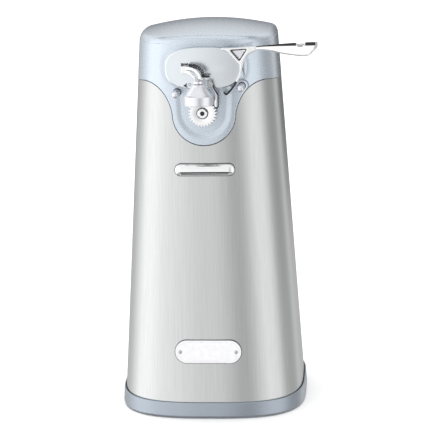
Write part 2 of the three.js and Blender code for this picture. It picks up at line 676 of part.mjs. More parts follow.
// a strap across the motor with a hub for the rotor shaft; each argument is its span along Y
function bearingBracket(plate, foot, hubSpan) {
  const strap = new THREE.Shape();
  strap.absarc(18.5, ROTOR_Z, 6, -Math.PI / 2, Math.PI / 2, false);
  strap.absarc(-18.5, ROTOR_Z, 6, Math.PI / 2, 3 * Math.PI / 2, false);
  const feet = [-1, 1].map((side) => rodY(3.6, foot, side * BOLT_X, ROTOR_Z));
  const hub = rodY(5.4, hubSpan, 0, ROTOR_Z);
  const bolts = [-1, 1].map((side) => rodY(BOLT_RADIUS + GAP, [-60, 20], side * BOLT_X, ROTOR_Z, 10));
  const bore = rodY(ROTOR.shaft + GAP, [-60, 20], 0, ROTOR_Z);
  return cut(join(prismY(strap, ...plate), ...feet, hub), ...bolts, bore);
}

function motorBolt(side) {
  const head = 1.4;
  const profile = [[0, 0], [2.8, 0], [2.8, head], [BOLT_RADIUS, head], [BOLT_RADIUS, 36.4], [0, 36.4]];
  return turnedY(profile, side * BOLT_X, head, ROTOR_Z, 10);
}

function rotorCore() {
  const core = rodY(ROTOR.radius, [STATOR.front - 1, STATOR.back + 1], 0, ROTOR_Z, 20);
  return cut(core, rodY(ROTOR.shaft + GAP, [-60, 20], 0, ROTOR_Z));
}

function coolingFan() {
  const hub = rodY(4.6, [4, 11], 0, ROTOR_Z);
  const disc = rodY(19, [9.6, 11], 0, ROTOR_Z, 20);
  const blades = Array.from({ length: 8 }, (_, i) => {
    const geometry = new THREE.BoxGeometry(15, 6.5, 1.2);
    geometry.translate(11, 0, 0);
    geometry.rotateY(2 * Math.PI * i / 8);
    geometry.translate(0, 7, ROTOR_Z);
    return solid(geometry);
  });
  return cut(join(hub, disc, ...blades), rodY(ROTOR.shaft + GAP, [-60, 30], 0, ROTOR_Z));
}

function buildMotor() {
  addSolid('stator_core', 'laminated', statorCore());
  addSolid('stator_coil', 'copper', statorCoil());
  const frontBracket = bearingBracket([-31.2, -29], [-31.2, STATOR.front - GAP], [-32.6, -28.2]);
  const rearBracket = bearingBracket([-3, -0.8], [STATOR.back + GAP, -0.8], [-3.8, 1.5]);
  addSolid('bearing_bracket_front', 'brass', frontBracket);
  addSolid('bearing_bracket_rear', 'brass', rearBracket);
  add('motor_bolt_left', 'steel', motorBolt(-1));
  add('motor_bolt_right', 'steel', motorBolt(1));
  addSolid('rotor_core', 'laminated', rotorCore());
  addSolid('rotor_shaft', 'steel', rodY(ROTOR.shaft, [LAYER.a[0] - 0.6, ROTOR.rear], 0, ROTOR_Z));
  addSolid('motor_pinion', 'brass', pinion(TEETH.motorPinion, ROTOR_Z, LAYER.a, ROTOR.shaft + GAP));
  addSolid('cooling_fan', 'dark', coolingFan());
}

// ---- lever and switch ----------------------------------------------------------------------------
const ARM_SLOT = { x: [-14, -7.6], z: [217.8, 225] };
const BRACKET = { x: [2.4, 7.2], y: [-66.6, -62.5], z: [207.4, 215.2] };
const CUTTER_SCREW = { x: 4.8, z: 211.6 };

// grip, triangular opening and the fork arm that runs down the plate's right edge to a hook
function leverOutline() {
  const points = (list) => list.map(([x, z]) => new THREE.Vector2(x, z));
  const shape = new THREE.Shape();
  shape.moveTo(12, 232.8);
  shape.splineThru(points([[26.4, 233.2], [41.4, 234.3], [55.8, 235.3]]));
  shape.quadraticCurveTo(59.4, 232.4, 62.7, 235.3);
  shape.lineTo(69.2, 235.8);
  shape.quadraticCurveTo(70.2, 235.6, 69.7, 234.2);
  shape.lineTo(66.6, 229.3);
  shape.quadraticCurveTo(65.8, 228.2, 63.8, 228);
  shape.splineThru(points([[55.7, 228.2], [48.9, 229], [43.6, 230.2], [37.5, 231.2], [32.9, 231]]));
  shape.splineThru(points([
    [28.4, 228.9], [25.3, 224.6], [24.1, 219.6], [22.2, 214], [18.8, 208.9], [14.9, 204.5],
  ]));
  shape.lineTo(12.8, 205.4);
  shape.lineTo(14.2, 206.5);
  shape.splineThru(points([[18.2, 210.8], [21.3, 215.2], [22.6, 219.8], [22.6, 222.8]]));
  shape.lineTo(21.3, 226);
  shape.lineTo(17.4, 231);
  shape.lineTo(12, 231.6);
  const opening = new THREE.Path();
  opening.moveTo(18.9, 231.3);
  opening.lineTo(22.9, 226.4);
  opening.lineTo(26.2, 231.9);
  shape.holes.push(opening);
  return shape;
}

function ovalPrism(inset, yLow, yHigh, bevel) {
  const halfWidth = OVAL.halfWidth - inset;
  const halfHeight = OVAL.halfHeight - inset / 2;
  const shape = ovalShape(OVAL.x - inset / 2, OVAL.z, halfWidth, halfHeight, OVAL.power);
  return prismY(shape, yLow, yHigh, bevel);
}

function armSlot() {
  return box(ARM_SLOT.x, [-80, -50], ARM_SLOT.z);
}

function armPinChannel() {
  return rodX(1.1, [-15.4, -6.2], ARM_PIVOT.y, ARM_PIVOT.z, 12);
}

function leverHandle() {
  const outline = leverOutline();
  const fork = prismY(outline, LEVER_Y.fork, LEVER_Y.back, 0, 2);
  const gripSide = box([GRIP_START, 90], [-90, -40], [200, 260]);
  const grip = prismY(outline, LEVER_Y.gripFront, LEVER_Y.gripBack, 0, 2).intersect(gripSide);
  const frame = ovalPrism(0, LEVER_Y.frame, LEVER_Y.back, 0);
  return cut(join(frame, fork, grip), armSlot(), armPinChannel());
}

function leverPlate() {
  const plate = ovalPrism(1.4, LEVER_Y.plateFront, LEVER_Y.plateBack, 0.5);
  const notch = box([-11.4, -8.6], [-80, -61.2], [209.4, 212.4]);
  const screwHole = rodY(SCREW.shank, [-80, -50], CUTTER_SCREW.x, CUTTER_SCREW.z, 12);
  return cut(plate, armSlot(), armPinChannel(), notch, screwHole);
}

// turns with the lever; the arm on its inner end holds the switch button down while the lever is down
function leverShaft() {
  const shaft = rodY(LEVER_SHAFT, [-57.7, -27.6], LEVER_PIVOT.x, LEVER_PIVOT.z);
  const collar = rodY(LEVER_SHAFT + 2, [-41.6, -39.8], LEVER_PIVOT.x, LEVER_PIVOT.z);
  const arm = box([LEVER_PIVOT.x, 3], [-32.6, -28.2], [LEVER_PIVOT.z - 2, LEVER_PIVOT.z + 2]);
  return join(shaft, collar, arm);
}

function cutterBlade() {
  const outline = shapeOf([
    [1.8, 216.4], [5.8, 216.4], [7.6, 209], [9.7, 204.8],
    [9.7, 198.4], [8.4, 196.8], [7.4, 198.4], [7.2, 203.4],
    [3.2, 206.4], [1.4, 211],
  ]);
  return cut(prismY(outline, -68, -66.9), rodY(1.5, [-80, -50], CUTTER_SCREW.x, CUTTER_SCREW.z, 12));
}

function bladeBracket() {
  const block = box(BRACKET.x, BRACKET.y, BRACKET.z);
  return cut(block, rodY(1.5, [-80, -50], CUTTER_SCREW.x, CUTTER_SCREW.z, 12));
}

function bladeScrew() {
  const profile = [[0, -8], [1.2, -8], [1.2, 0], [2.1, 0], [2.1, 0.9], [1.7, 1.3], [0, 1.3]];
  return turnedY(profile, CUTTER_SCREW.x, -68.3, CUTTER_SCREW.z, 10);
}

function switchBody() {
  const body = box([-4, 16], [-33.9, -27.8], [203, 214.5]);
  return cut(body, box([-1.8, 1.8], [-32.3, -29.1], [209.9, 220]));
}

function buildLever() {
  addSolid('lever_handle', 'chrome', leverHandle());
  addSolid('lever_plate', 'satin', leverPlate());
  addSolid('lever_shaft', 'steel', leverShaft());
  addSolid('cutter_blade', 'cutter', cutterBlade());
  addSolid('blade_bracket', 'steel', bladeBracket());
  add('blade_screw', 'steel', bladeScrew());
  addSolid('switch_body', 'dark', switchBody());
  addSolid('switch_button', 'nylon', box([-1.5, 1.5], [-32, -29.4], [210.2, 217.7]));
}

// ---- lid magnet ----------------------------------------------------------------------------------
function wire(points) {
  const path = new THREE.CatmullRomCurve3(points.map((point) => new THREE.Vector3(...point)));
  const section = new THREE.Shape();
  section.absarc(0, 0, ARM_WIRE, 0, 2 * Math.PI, false);
  const geometry = new THREE.ExtrudeGeometry(section, { steps: 6, extrudePath: path, curveSegments: 4 });
  return solid(geometry);
}

// two parallel wires from a hinge barrel in the lever plate, over and down to the magnet's neck
function magnetArm() {
  const { x, y, neck } = MAGNET;
  const barrel = rodX(1.7, [-13.3, -8.3], ARM_PIVOT.y, ARM_PIVOT.z, 16);
  const lug = box([-12.4, -8.6], [-66, ARM_PIVOT.y], [219.4, 222.6]);
  const head = box([-12.4, -8.6], [-66, -63.4], [217.6, 223.4]);
  const outer = wire([
    [-9.6, -64.8, 222.2], [-5.2, -68, 222.2], [-1.6, -72.6, 220.6],
    [0.2, -76.2, 217.4], [0.4, y + 2, 214.6],
  ]);
  const inner = wire([
    [-9.6, -64.8, 218.8], [-6.6, -67.6, 218.5], [-4.2, -72, 217.4],
    [-2.9, -75.8, 216.2], [-2.6, y + 2, 214.6],
  ]);
  const pad = rodZ(3, [neck + 0.6, neck + 2], x, y, 20);
  const bore = rodX(1.1, [-20, 0], ARM_PIVOT.y, ARM_PIVOT.z, 12);
  const rivetHole = rodZ(1.4, [neck - 2, neck + 2.1], x, y, 16);
  const headSpace = rodZ(2, [neck + 2, neck + 9], x, y, 16);
  return cut(join(barrel, lug, head, outer, inner, pad), bore, rivetHole, headSpace);
}

function magnetCup() {
  const { low, top, neck, radius, x, y } = MAGNET;
  const profile = [
    [1.4, neck], [3.5, neck], [3.7, neck - 1], [7, top], [radius - 0.5, top], [radius, top - 0.5],
    [radius, low + 0.4], [radius - 0.4, low], [7.9, low], [7.9, low + 3.8], [1.4, low + 3.8],
  ];
  return turnedZ([...profile, profile[0]].toReversed(), x, y, 0, 20);
}

function magnetDisc() {
  const { low, x, y } = MAGNET;
  return turnedZ([[0, 0], [7, 0], [7.6, 0.5], [7.6, 3.4], [0, 3.4]], x, y, low + 0.1, 20);
}

function magnetRivet() {
  const { neck, low, x, y } = MAGNET;
  const profile = [
    [0, low + 4.4], [1.1, low + 4.4], [1.1, neck + 2.4],
    [1.7, neck + 2.4], [1.5, neck + 3.1], [0, neck + 3.3],
  ];
  return turnedZ(profile, x, y, 0, 10);
}

function buildMagnet() {
  addSolid('magnet_arm', 'chrome', magnetArm());
  addSolid('magnet_arm_pin', 'steel', rodX(0.8, [-15.2, -6.4], ARM_PIVOT.y, ARM_PIVOT.z, 12));
  add('magnet_cup', 'chrome', magnetCup());
  add('magnet_disc', 'ferrite', magnetDisc());
  add('magnet_rivet', 'steel', magnetRivet());
}

buildBody();
buildTrim();
buildFrame();
buildDrive();
buildMotor();
buildLever();
buildMagnet();

// the origin is under the middle of the whole object, handle and magnet included
const extent = {
  x: [-(HALF_WIDTH + RING.proud - WIDTH_TAPER * (FOOT_DROP + 0.8)), HANDLE_TIP],
  y: [MAGNET.y - MAGNET.radius, HALF_DEPTH + RING.proud],
};
group.position.set(-(extent.x[0] + extent.x[1]) / 2, -(extent.y[0] + extent.y[1]) / 2, 0);

const opener = new THREE.Group();
opener.add(group);

export default opener;
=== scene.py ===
"""The looks of the electric can opener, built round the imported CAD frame: smooth shells, a polished
lever and lid magnet, procedural materials, a pale studio and the camera.

Shape functions work in millimetres from the body's axis on the table, with the front at -Y.
put() turns those into metres in the frame."""
import math
from types import SimpleNamespace as Sizes

import bmesh
import bpy
from mathutils import Matrix, Vector


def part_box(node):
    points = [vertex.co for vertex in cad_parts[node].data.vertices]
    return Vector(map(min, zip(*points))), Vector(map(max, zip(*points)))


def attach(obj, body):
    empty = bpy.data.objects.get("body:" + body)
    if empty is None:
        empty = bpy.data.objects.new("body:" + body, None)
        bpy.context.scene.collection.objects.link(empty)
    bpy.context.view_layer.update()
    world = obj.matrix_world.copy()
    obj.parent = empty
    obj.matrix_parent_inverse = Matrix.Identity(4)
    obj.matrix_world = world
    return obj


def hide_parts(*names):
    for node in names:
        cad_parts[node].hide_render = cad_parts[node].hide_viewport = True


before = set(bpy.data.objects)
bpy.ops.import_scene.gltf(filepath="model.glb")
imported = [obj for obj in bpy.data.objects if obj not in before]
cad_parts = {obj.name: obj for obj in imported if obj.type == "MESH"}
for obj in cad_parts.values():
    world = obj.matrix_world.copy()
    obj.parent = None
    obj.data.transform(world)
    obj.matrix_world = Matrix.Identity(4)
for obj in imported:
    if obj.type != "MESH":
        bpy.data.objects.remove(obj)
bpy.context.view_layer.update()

MM = 0.001
ring_low, ring_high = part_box("base_ring")
AXIS = Vector(((ring_low.x + ring_high.x) / 2, (ring_low.y + ring_high.y) / 2, 0))

# ---- body dimensions in mm, the same as the CAD part's ----
HEIGHT = 244.29
HALF_WIDTH = 58.1
HALF_DEPTH = 60
WIDTH_TAPER = 0.065  # half width lost per mm of height
DEPTH_TAPER = 0.0175  # half depth lost per mm of height
FRONT_POWER = 3.04  # how square the outline is: 2 is an ellipse
REAR_POWER = 4
SEAM_HEIGHT = 207.8
SEAM_FALL = 0.087  # the joint line's slope down to the back
APRON = Sizes(
    radius=19.4, centre=192, shoulder_x=37, shoulder_z=211.3, lift=(1.4, 0.44), lead=(10.5, 0.5))
SLEEVE = Sizes(bottom=7.6, edge_margin=-0.3, lip_margin=-0.12, lip_inward=(0.25, 1.2))
DOME = Sizes(side_drop=4.4, side_reach=38, end_drop=4, end_reach=50)
HEAD = Sizes(
    edge=3.2, margin=0.42, lip=[(0.1, -2.4), (0.1, -0.35), (0.2, -0.1)], front_from=-20,
    dome_rings=(0.9, 0.75, 0.6, 0.45, 0.3, 0.15, 0.03))
RECESS = Sizes(
    x=1, z=220.8, half_width=26, half_height=13.9, power=2.6, depth=0.5,
    fade=0.75, fade_span=(0.1, 0.8), edge=(-1.9, 1.3))
APRON_RECESS = Sizes(half=15.5, centre=193.5, top=222, depth=0.7, flare=0.06, edge=(-2, 2.2))
LEAF = Sizes(x=25.4, z=220.6, half_width=1.5, half_height=6, proud=0.75, sunk=0.3, bluntness=0.3)
# a raised line round the right guide post, drawn in darker paint as painted shade
HOOD = Sizes(radius=3.9, start=-35, end=110, step=5, sunk=0.1, wire=0.45)
# the base ring's section, as (distance out from the body, height)
RING_SECTION = [(-5.5, 1), (1.2, 1), (1.2, 10.3), (0.25, 10.3), (0.25, 7.2), (-5.5, 7.2), (-5.5, 1)]

# ---- front trim: heights on the rail run from -1 to 1, sections are (inset or radius, depth) ----
# the rail's outline margin: how far its dark outline, painted shade, reaches past the rail
RAIL = Sizes(
    facet_top=-0.24, facet_low=-0.68, slope=0.285, ledge=0.33, ledge_width=0.1, ledge_depth=0.2,
    flat_middle=0.97, fullness=0.7, seat=0.3, sunk=0.9, bed_margin=0.15)
# the badge's outline margin: how far its dark outline, a painted shadow, reaches past its edge
BADGE = Sizes(
    section=[(0, 1.6), (0, 0.4), (0.12, 0.14), (0.4, 0), (1.0, 0), (1.12, 0.18), (1.38, 0.18),
             (1.5, 0.02), (3.5, -0.04), (5.5, -0.06)],
    rivet=[(0, 0), (1.15, 0), (1.15, 0.35), (0.7, 0.62), (0, 0.7)],
    set_back=0.1, bed_margin=0.35, rivet_seat=0.3)
# dark rings round the guide posts' feet, painted contact shade
POST_SHADE_RING = Sizes(sunk=0.6, margin=0.35, height=1.1)
WHEEL = Sizes(
    teeth=26, tooth=((0.0, 0), (0.25, 0.05), (0.4, 0.6), (0.5, 1.25), (0.62, 1.25), (0.84, 0.55)),
    thickness=4.5, hub=5.2, face=6.5, groove=3.3, bore=2.6, socket=1.35)

# ---- lever dimensions ----
PLATE = Sizes(
    x=0.6, z=220.4, half_width=23.2, half_height=12.6, power=2.7, crown=1.1,
    section=[(0, 0), (0, 0.5), (0.2, 0.8), (0.5, 0.95), (0.9, 1), (1.5, 0.96), (2.4, 0.94), (4, 0.97),
             (6.5, 1), (9, 1), (11.5, 1)])
PLATE_Y = Sizes(back=-60.3, front=-62.2)
PLATE_SLOT = Sizes(x=(-12.7, -8.3), z=(219.1, 223.9))
LEVER_Y = Sizes(back=-58, frame=-60, fork=-63.6, grip_back=-59.6, grip_front=-68.4)
RIM_SLOT = Sizes(x=(-14, -7.6), z=(217.8, 225))
CUT_THROUGH = (-70, -50)
WINDOW = Sizes(
    corners=[(17.2, 231.5), (22.7, 225), (27.3, 232.1)], edge_y=(-63.65, -62.4),
    floor_y=(-61.9, -61.2), edge_scale=0.85)
HOOK_Y = (-62.9, -61.2)
GRIP = Sizes(
    root=25, length=44.8, sunk=0.4, front_span=(25, 72), rear_span=(28, 38),
    top_line=[(25, 232.9), (33, 233.7), (41.4, 234.5), (55.8, 235.6), (70, 236.1)],
    low_line=[(25, 229.6), (29, 229.9), (32.9, 230.9), (37.5, 231.1), (43.6, 230.2), (48.9, 229),
              (55.7, 228.1), (60.2, 227.8), (63.6, 228), (66.2, 228.9)],
    tip_span=(62, 70), slant=3.8, facet_from=67.6, facet_length=2.4, facet_depth=4.2,
    dip_x=59.4, dip_half=2.9, dip_ramp=1.6, dip_depth=1.7, dip_bevel=0.75, dip_slope=0.1,
    bevel_root=0.5, bevel_gain=1.2, bevel_span=(27, 66), bevel_slope=0.4, top_slope=0.27,
    low_lift=0.8, low_bevel=1.7)
HOLDER = Sizes(
    y=(-67.4, -66.3),
    outline=[(4.6, 213.5), (5.8, 213.5), (7.6, 209.2), (10, 205.2), (10, 197.8), (8.6, 196.3),
             (7.1, 198.2), (7.1, 204.4), (7.9, 205.2), (6.2, 208.8)])
BLADE = Sizes(
    y=(-68, -67.3),
    outline=[(4.7, 213.2), (5.3, 213.2), (7, 209), (9.4, 205), (9.4, 198.4), (8.6, 197.3),
             (7.5, 198.6), (7.5, 204.3), (8.1, 205.2), (6.5, 208.8)])
BRACKET_INSETS = (1.9, 1.6, 2.2, 0.8)  # left, right, below, above
CLIPS = [("clip_upper", (-0.4, 5), (-68.6, -66.4), (216, 216.9), "blued_steel"),
         ("clip_lower", (-0.2, 4.6), (-68.4, -66.4), (214.5, 215.7), "chrome")]
STOP = Sizes(
    outline=[(-11.6, 210.2), (-9.1, 211.9), (-9.7, 210.5), (-9, 208.9)], y=(-62.5, -60.4),
    eyelet=(-7.7, -61.9, 210.9))

# ---- magnet arm and magnet dimensions ----
ARM_WIRE = 1.15
OUTER_WIRE = [(-9.6, -64.8, 221.2), (-5.4, -68, 221), (-1.9, -72.6, 219.2), (-0.1, -76.2, 216.6),
              (0.3, -77.3, 214.9)]
INNER_WIRE = [(-9.6, -64.8, 218.9), (-6.8, -67.6, 218.5), (-4.2, -72, 216.9), (-2.7, -75.8, 215.6),
              (-2.5, -77.3, 214.9)]
SPRING = Sizes(
    turns=11, radius=0.85, wire=0.3,
    path=[(-7.6, -65.4, 223), (-4.6, -67.4, 222.9), (-1.4, -70.2, 221.9), (1, -72.6, 219.8),
          (1.7, -74.2, 217.4)])
BARREL = Sizes(x=(-12.4, -8.6), y=-60, z=221, radius=1.7)
LUG = Sizes(y=(-66, -60), z=(219.4, 222), head_y=(-66, -63.8), head_z=(217.8, 222.3))
ARM_PAD = Sizes(radius=3, height=1.4, z=213.8)
CUP_SECTION = [(0, 213.2), (3.5, 213.2), (3.9, 212.2), (7.9, 206.9), (8.7, 206.6), (9, 206.2), (9, 200.9),
               (7.9, 200.9), (7.9, 204.7), (0, 204.7)]
DISC_SECTION = [(0, 201), (7.6, 201), (7.6, 204.4), (0, 204.4)]


# ---- frame measures ----
def node_mm(node):
    """lowest and highest corner of a CAD node, in millimetres from the body's axis"""
    low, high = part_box(node)
    return (low - AXIS) / MM, (high - AXIS) / MM


def middle_mm(node):
    low, high = node_mm(node)
    return (low + high) / 2


def put(points):
    """millimetres from the body's axis -> metres in the frame"""
    return [(AXIS.x + x * MM, AXIS.y + y * MM, z * MM) for x, y, z in points]


# ---- mesh helpers ----
def smooth_shading(piece, sharp_angle=38):
    mesh = piece.data
    mesh.polygons.foreach_set("use_smooth", [True] * len(mesh.polygons))
    mesh.set_sharp_from_angle(angle=math.radians(sharp_angle))


def tidy_mesh(mesh):
    """joins doubled points and turns the faces outwards"""
    work = bmesh.new()
    work.from_mesh(mesh)
    bmesh.ops.remove_doubles(work, verts=work.verts, dist=1e-6)
    bmesh.ops.dissolve_degenerate(work, edges=work.edges, dist=1e-7)
    bmesh.ops.recalc_face_normals(work, faces=work.faces)
    work.to_mesh(mesh)
    work.free()


def add_object(name, data):
    thing = bpy.data.objects.new(name, data)
    bpy.context.scene.collection.objects.link(thing)
    return thing


def object_from(name, mesh, sharp_angle=38):
    tidy_mesh(mesh)
    piece = add_object(name, mesh)
    smooth_shading(piece, sharp_angle)
    return piece


def new_object(name, points, faces, sharp_angle=38):
    mesh = bpy.data.meshes.new(name)
    mesh.from_pydata(put(points), [], faces)
    return object_from(name, mesh, sharp_angle)


def skin(name, rings, sharp_angle=38, cap_first=True, cap_last=True):
    """a closed skin through rings of points that all have the same count"""
    count = len(rings[0])
    faces = []
    for row in range(len(rings) - 1):
        for column in range(count):
            after = (column + 1) % count
            low, high = row * count, (row + 1) * count
            faces.append((low + column, low + after, high + after, high + column))
    if cap_first:
        faces.append(tuple(range(count)))
    if cap_last:
        last = (len(rings) - 1) * count
        faces.append(tuple(range(last, last + count)))
    return new_object(name, [point for ring in rings for point in ring], faces, sharp_angle)


def turned(name, profile, centre, axis="Z", sides=64, sharp_angle=38):
    """a turned piece from (radius, distance) pairs: up from centre for Z, towards the front for Y"""
    rings = []
    for radius, along in profile:
        ring = []
        for i in range(sides):
            across = radius * math.cos(2 * math.pi * i / sides)
            up = radius * math.sin(2 * math.pi * i / sides)
            local = (across, up, along) if axis == "Z" else (across, -along, up)
            ring.append(tuple(c + d for c, d in zip(centre, local)))
        rings.append(ring)
    return skin(name, rings, sharp_angle, cap_first=False, cap_last=False)


def rounded(profile, radius, steps=4):
    """rounds the corners of an open profile"""
    result = [profile[0]]
    for before, corner, after in zip(profile, profile[1:], profile[2:]):
        corner, before, after = Vector(corner), Vector(before), Vector(after)
        start = corner + (before - corner).normalized() * min(radius, (before - corner).length * 0.45)
        end = corner + (after - corner).normalized() * min(radius, (after - corner).length * 0.45)
        for i in range(steps + 1):
            t = i / steps
            result.append(tuple(start * (1 - t) ** 2 + corner * 2 * t * (1 - t) + end * t ** 2))
    result.append(profile[-1])
    return result


def disc_section(radius, height):
    """the (radius, distance) section of a plain disc"""
    return [(0, 0), (radius, 0), (radius, height), (0, height)]


def prism(name, outline, y_front, y_back):
    """an outline of (x, z) points, extruded along Y"""
    return skin(name, [[(x, y, z) for x, z in outline] for y in (y_front, y_back)])


def block(name, x, y, z):
    return prism(name, [(x[0], z[0]), (x[1], z[0]), (x[1], z[1]), (x[0], z[1])], y[0], y[1])


def mesh_of(thing):
    """the mesh of an object, with its modifiers or its curve's thickness"""
    graph = bpy.context.evaluated_depsgraph_get()
    return bpy.data.meshes.new_from_object(thing.evaluated_get(graph))


def modify(piece, kind, sharp_angle=38, **settings):
    """applies one modifier to the mesh of a piece"""
    change = piece.modifiers.new(kind, kind)
    for name, value in settings.items():
        setattr(change, name, value)
    mesh = mesh_of(piece)
    piece.modifiers.clear()
    piece.data = mesh
    smooth_shading(piece, sharp_angle)


def cut(piece, tool):
    modify(piece, "BOOLEAN", operation="DIFFERENCE", object=tool, solver="EXACT")
    bpy.data.objects.remove(tool)


def bevel(piece, width, segments=3, angle=30):
    modify(piece, "BEVEL", width=width * MM, segments=segments, limit_method="ANGLE",
           angle_limit=math.radians(angle))


def cast(pieces, name, voxel, rounds):
    """melts overlapping pieces into one soft-edged body, as a casting is"""
    merged = bmesh.new()
    for piece in pieces:
        merged.from_mesh(piece.data)
        bpy.data.objects.remove(piece)
    mesh = bpy.data.meshes.new(name)
    merged.to_mesh(mesh)
    merged.free()
    body = add_object(name, mesh)
    modify(body, "REMESH", mode="VOXEL", voxel_size=voxel * MM)
    modify(body, "SMOOTH", 180, factor=0.5, iterations=rounds)
    return body


def tube(name, points, radius, sides=16, steps=10):
    """a round wire on a smooth curve through points"""
    curve = bpy.data.curves.new(name, "CURVE")
    curve.dimensions = "3D"
    curve.bevel_depth = radius * MM
    curve.bevel_resolution = sides // 4
    curve.resolution_u = steps
    curve.use_fill_caps = True
    spline = curve.splines.new("BEZIER")
    spline.bezier_points.add(len(points) - 1)
    for knot, point in zip(spline.bezier_points, put(points)):
        knot.co = point
        knot.handle_left_type = knot.handle_right_type = "AUTO"
    source = add_object(name, curve)
    mesh = mesh_of(source)
    bpy.data.objects.remove(source)
    return object_from(name, mesh)


def catmull_rom(points, steps=8):
    """a smooth open curve through (x, z) points"""
    ends = [points[0]] + list(points) + [points[-1]]
    curve = []
    for a, b, c, d in zip(ends, ends[1:], ends[2:], ends[3:]):
        a, b, c, d = Vector(a), Vector(b), Vector(c), Vector(d)
        for i in range(steps):
            t = i / steps
            curve.append(tuple(0.5 * (2 * b + (c - a) * t + (2 * a - 5 * b + 4 * c - d) * t ** 2
                                      + (3 * b - a - 3 * c + d) * t ** 3)))
    return curve + [tuple(points[-1])]


def chain(*parts):
    """joins open curves end to end, without doubling the points that they share"""
    outline = []
    for part in parts:
        for point in part:
            if not outline or (Vector(point) - Vector(outline[-1])).length > 0.02:
                outline.append(tuple(point))
    return outline


def smooth_step(value, low, high):
    t = min(1, max(0, (value - low) / (high - low)))
    return t * t * (3 - 2 * t)


def oval_ring(x, z, half_width, half_height, power, count=96):
    ring = []
    for i in range(count):
        c, s = math.cos(2 * math.pi * i / count), math.sin(2 * math.pi * i / count)
        radial = (abs(c) ** power + abs(s) ** power) ** (-1 / power)
        ring.append((x + half_width * radial * c, z + half_height * radial * s))
    return ring


def stadium(half_length, radius, z, per_end=28):
    """a level bar with round ends, centred on x = 0"""
    ring = []
    for side in (1, -1):
        for i in range(per_end + 1):
            angle = -math.pi / 2 + math.pi * i / per_end
            reach = half_length - radius + radius * math.cos(angle)
            ring.append((side * reach, z + side * radius * math.sin(angle)))
    return ring


# ---- materials ----
def add_node(tree, kind, inputs=None, **settings):
    """a shader node, with its inputs linked or set by name or number"""
    made = tree.nodes.new(kind)
    for name, value in settings.items():
        setattr(made, name, value)
    for key, value in (inputs or {}).items():
        if isinstance(value, bpy.types.NodeSocket):
            tree.links.new(value, made.inputs[key])
        else:
            made.inputs[key].default_value = value
    return made


class Finish:
    """one procedural material: a Principled shader, with noise in its colour, roughness and bump"""

    def __init__(self, slot, metallic=0.0, **sockets):
        self.material = bpy.data.materials.new(slot)
        self.material.use_nodes = True
        self.tree = self.material.node_tree
        self.shader = self.tree.nodes["Principled BSDF"]
        self.shader.inputs["Metallic"].default_value = metallic
        for name, value in sockets.items():
            self.shader.inputs[name.replace("_", " ")].default_value = value
        self.place = add_node(self.tree, "ShaderNodeTexCoord").outputs["Object"]

    def set(self, socket, source):
        self.tree.links.new(source, self.shader.inputs[socket])
        return self

    def noise(self, scale, stretch=(1, 1, 1), detail=3.0):
        """noise with features of about 1/scale metres, stretched along an axis by a small factor there"""
        place = add_node(self.tree, "ShaderNodeMapping", {"Vector": self.place, "Scale": stretch})
        inputs = {"Vector": place.outputs["Vector"], "Scale": scale, "Detail": detail}
        return add_node(self.tree, "ShaderNodeTexNoise", inputs).outputs["Fac"]

    def bands(self, scale, direction="Z", distortion=0.0):
        inputs = {"Vector": self.place, "Scale": scale, "Distortion": distortion}
        return add_node(self.tree, "ShaderNodeTexWave", inputs, bands_direction=direction).outputs["Fac"]

    def colour(self, source, dark, light, low=0.35, high=0.65):
        ramp = add_node(self.tree, "ShaderNodeValToRGB", {"Fac": source})
        for stop, position, tone in zip(ramp.color_ramp.elements, (low, high), (dark, light)):
            stop.position = position
            stop.color = (*tone, 1)
        return self.set("Base Color", ramp.outputs["Color"])

    def roughness(self, source, low, high):
        inputs = {"Value": source, "From Min": 0.3, "From Max": 0.7, "To Min": low, "To Max": high}
        return self.set("Roughness", add_node(self.tree, "ShaderNodeMapRange", inputs).outputs["Result"])

    def bump(self, source, depth, strength=1.0):
        """depth in millimetres from the lowest to the highest point of the source"""
        inputs = {"Height": source, "Strength": strength, "Distance": depth * MM}
        return self.set("Normal", add_node(self.tree, "ShaderNodeBump", inputs).outputs["Normal"])

    def around_z(self, amount):
        """stretches the highlights level round the body, as upright brushing does"""
        self.shader.inputs["Anisotropic"].default_value = amount
        tangent = add_node(self.tree, "ShaderNodeTangent", direction_type="RADIAL", axis="Z")
        return self.set("Tangent", tangent.outputs["Tangent"])


def brushed_stainless(slot):
    """upright brushing: fine lines a few centimetres long, with a faint broad unevenness"""
    finish = Finish(slot, metallic=1.0)
    fine = finish.noise(5200, stretch=(1, 1, 0.006), detail=2)
    broad = finish.noise(1500, stretch=(1, 1, 0.006), detail=2)
    finish.colour(broad, (0.605, 0.62, 0.615), (0.635, 0.65, 0.645))
    finish.roughness(fine, 0.2, 0.27).bump(fine, 0.002, 0.2)
    return finish.around_z(0.3).material


def painted(slot, dark, light, metallic, roughness, coat):
    """silver-blue metallic paint under a clear coat: fine flake sparkle and a slight orange peel"""
    finish = Finish(slot, metallic=metallic, Coat_Weight=coat, Coat_Roughness=0.08)
    finish.colour(finish.noise(2400, detail=1), dark, light, 0.3, 0.7)
    finish.roughness(finish.noise(1400), roughness - 0.008, roughness + 0.008)
    return finish.bump(finish.noise(1100, detail=1), 0.002, 0.08).material


def polished(slot, tint, roughness):
    """polished plating: hairline wiping marks in the roughness and a trace of unevenness"""
    finish = Finish(slot, metallic=1.0)
    finish.colour(finish.noise(120), tuple(c * 0.96 for c in tint), tint)
    finish.roughness(finish.noise(2600, stretch=(1, 1, 0.2)), roughness, roughness + 0.04)
    return finish.bump(finish.noise(260, detail=1), 0.004, 0.2).material


def ground_metal(slot, tint, roughness, stretch=(1, 0.1, 1), depth=0.003):
    """turned or ground metal with fine tool lines"""
    finish = Finish(slot, metallic=1.0)
    lines = finish.noise(3000, stretch=stretch, detail=2)
    finish.colour(finish.noise(400), tuple(c * 0.96 for c in tint), tint)
    return finish.roughness(lines, roughness - 0.05, roughness + 0.07).bump(lines, depth, 0.4).material


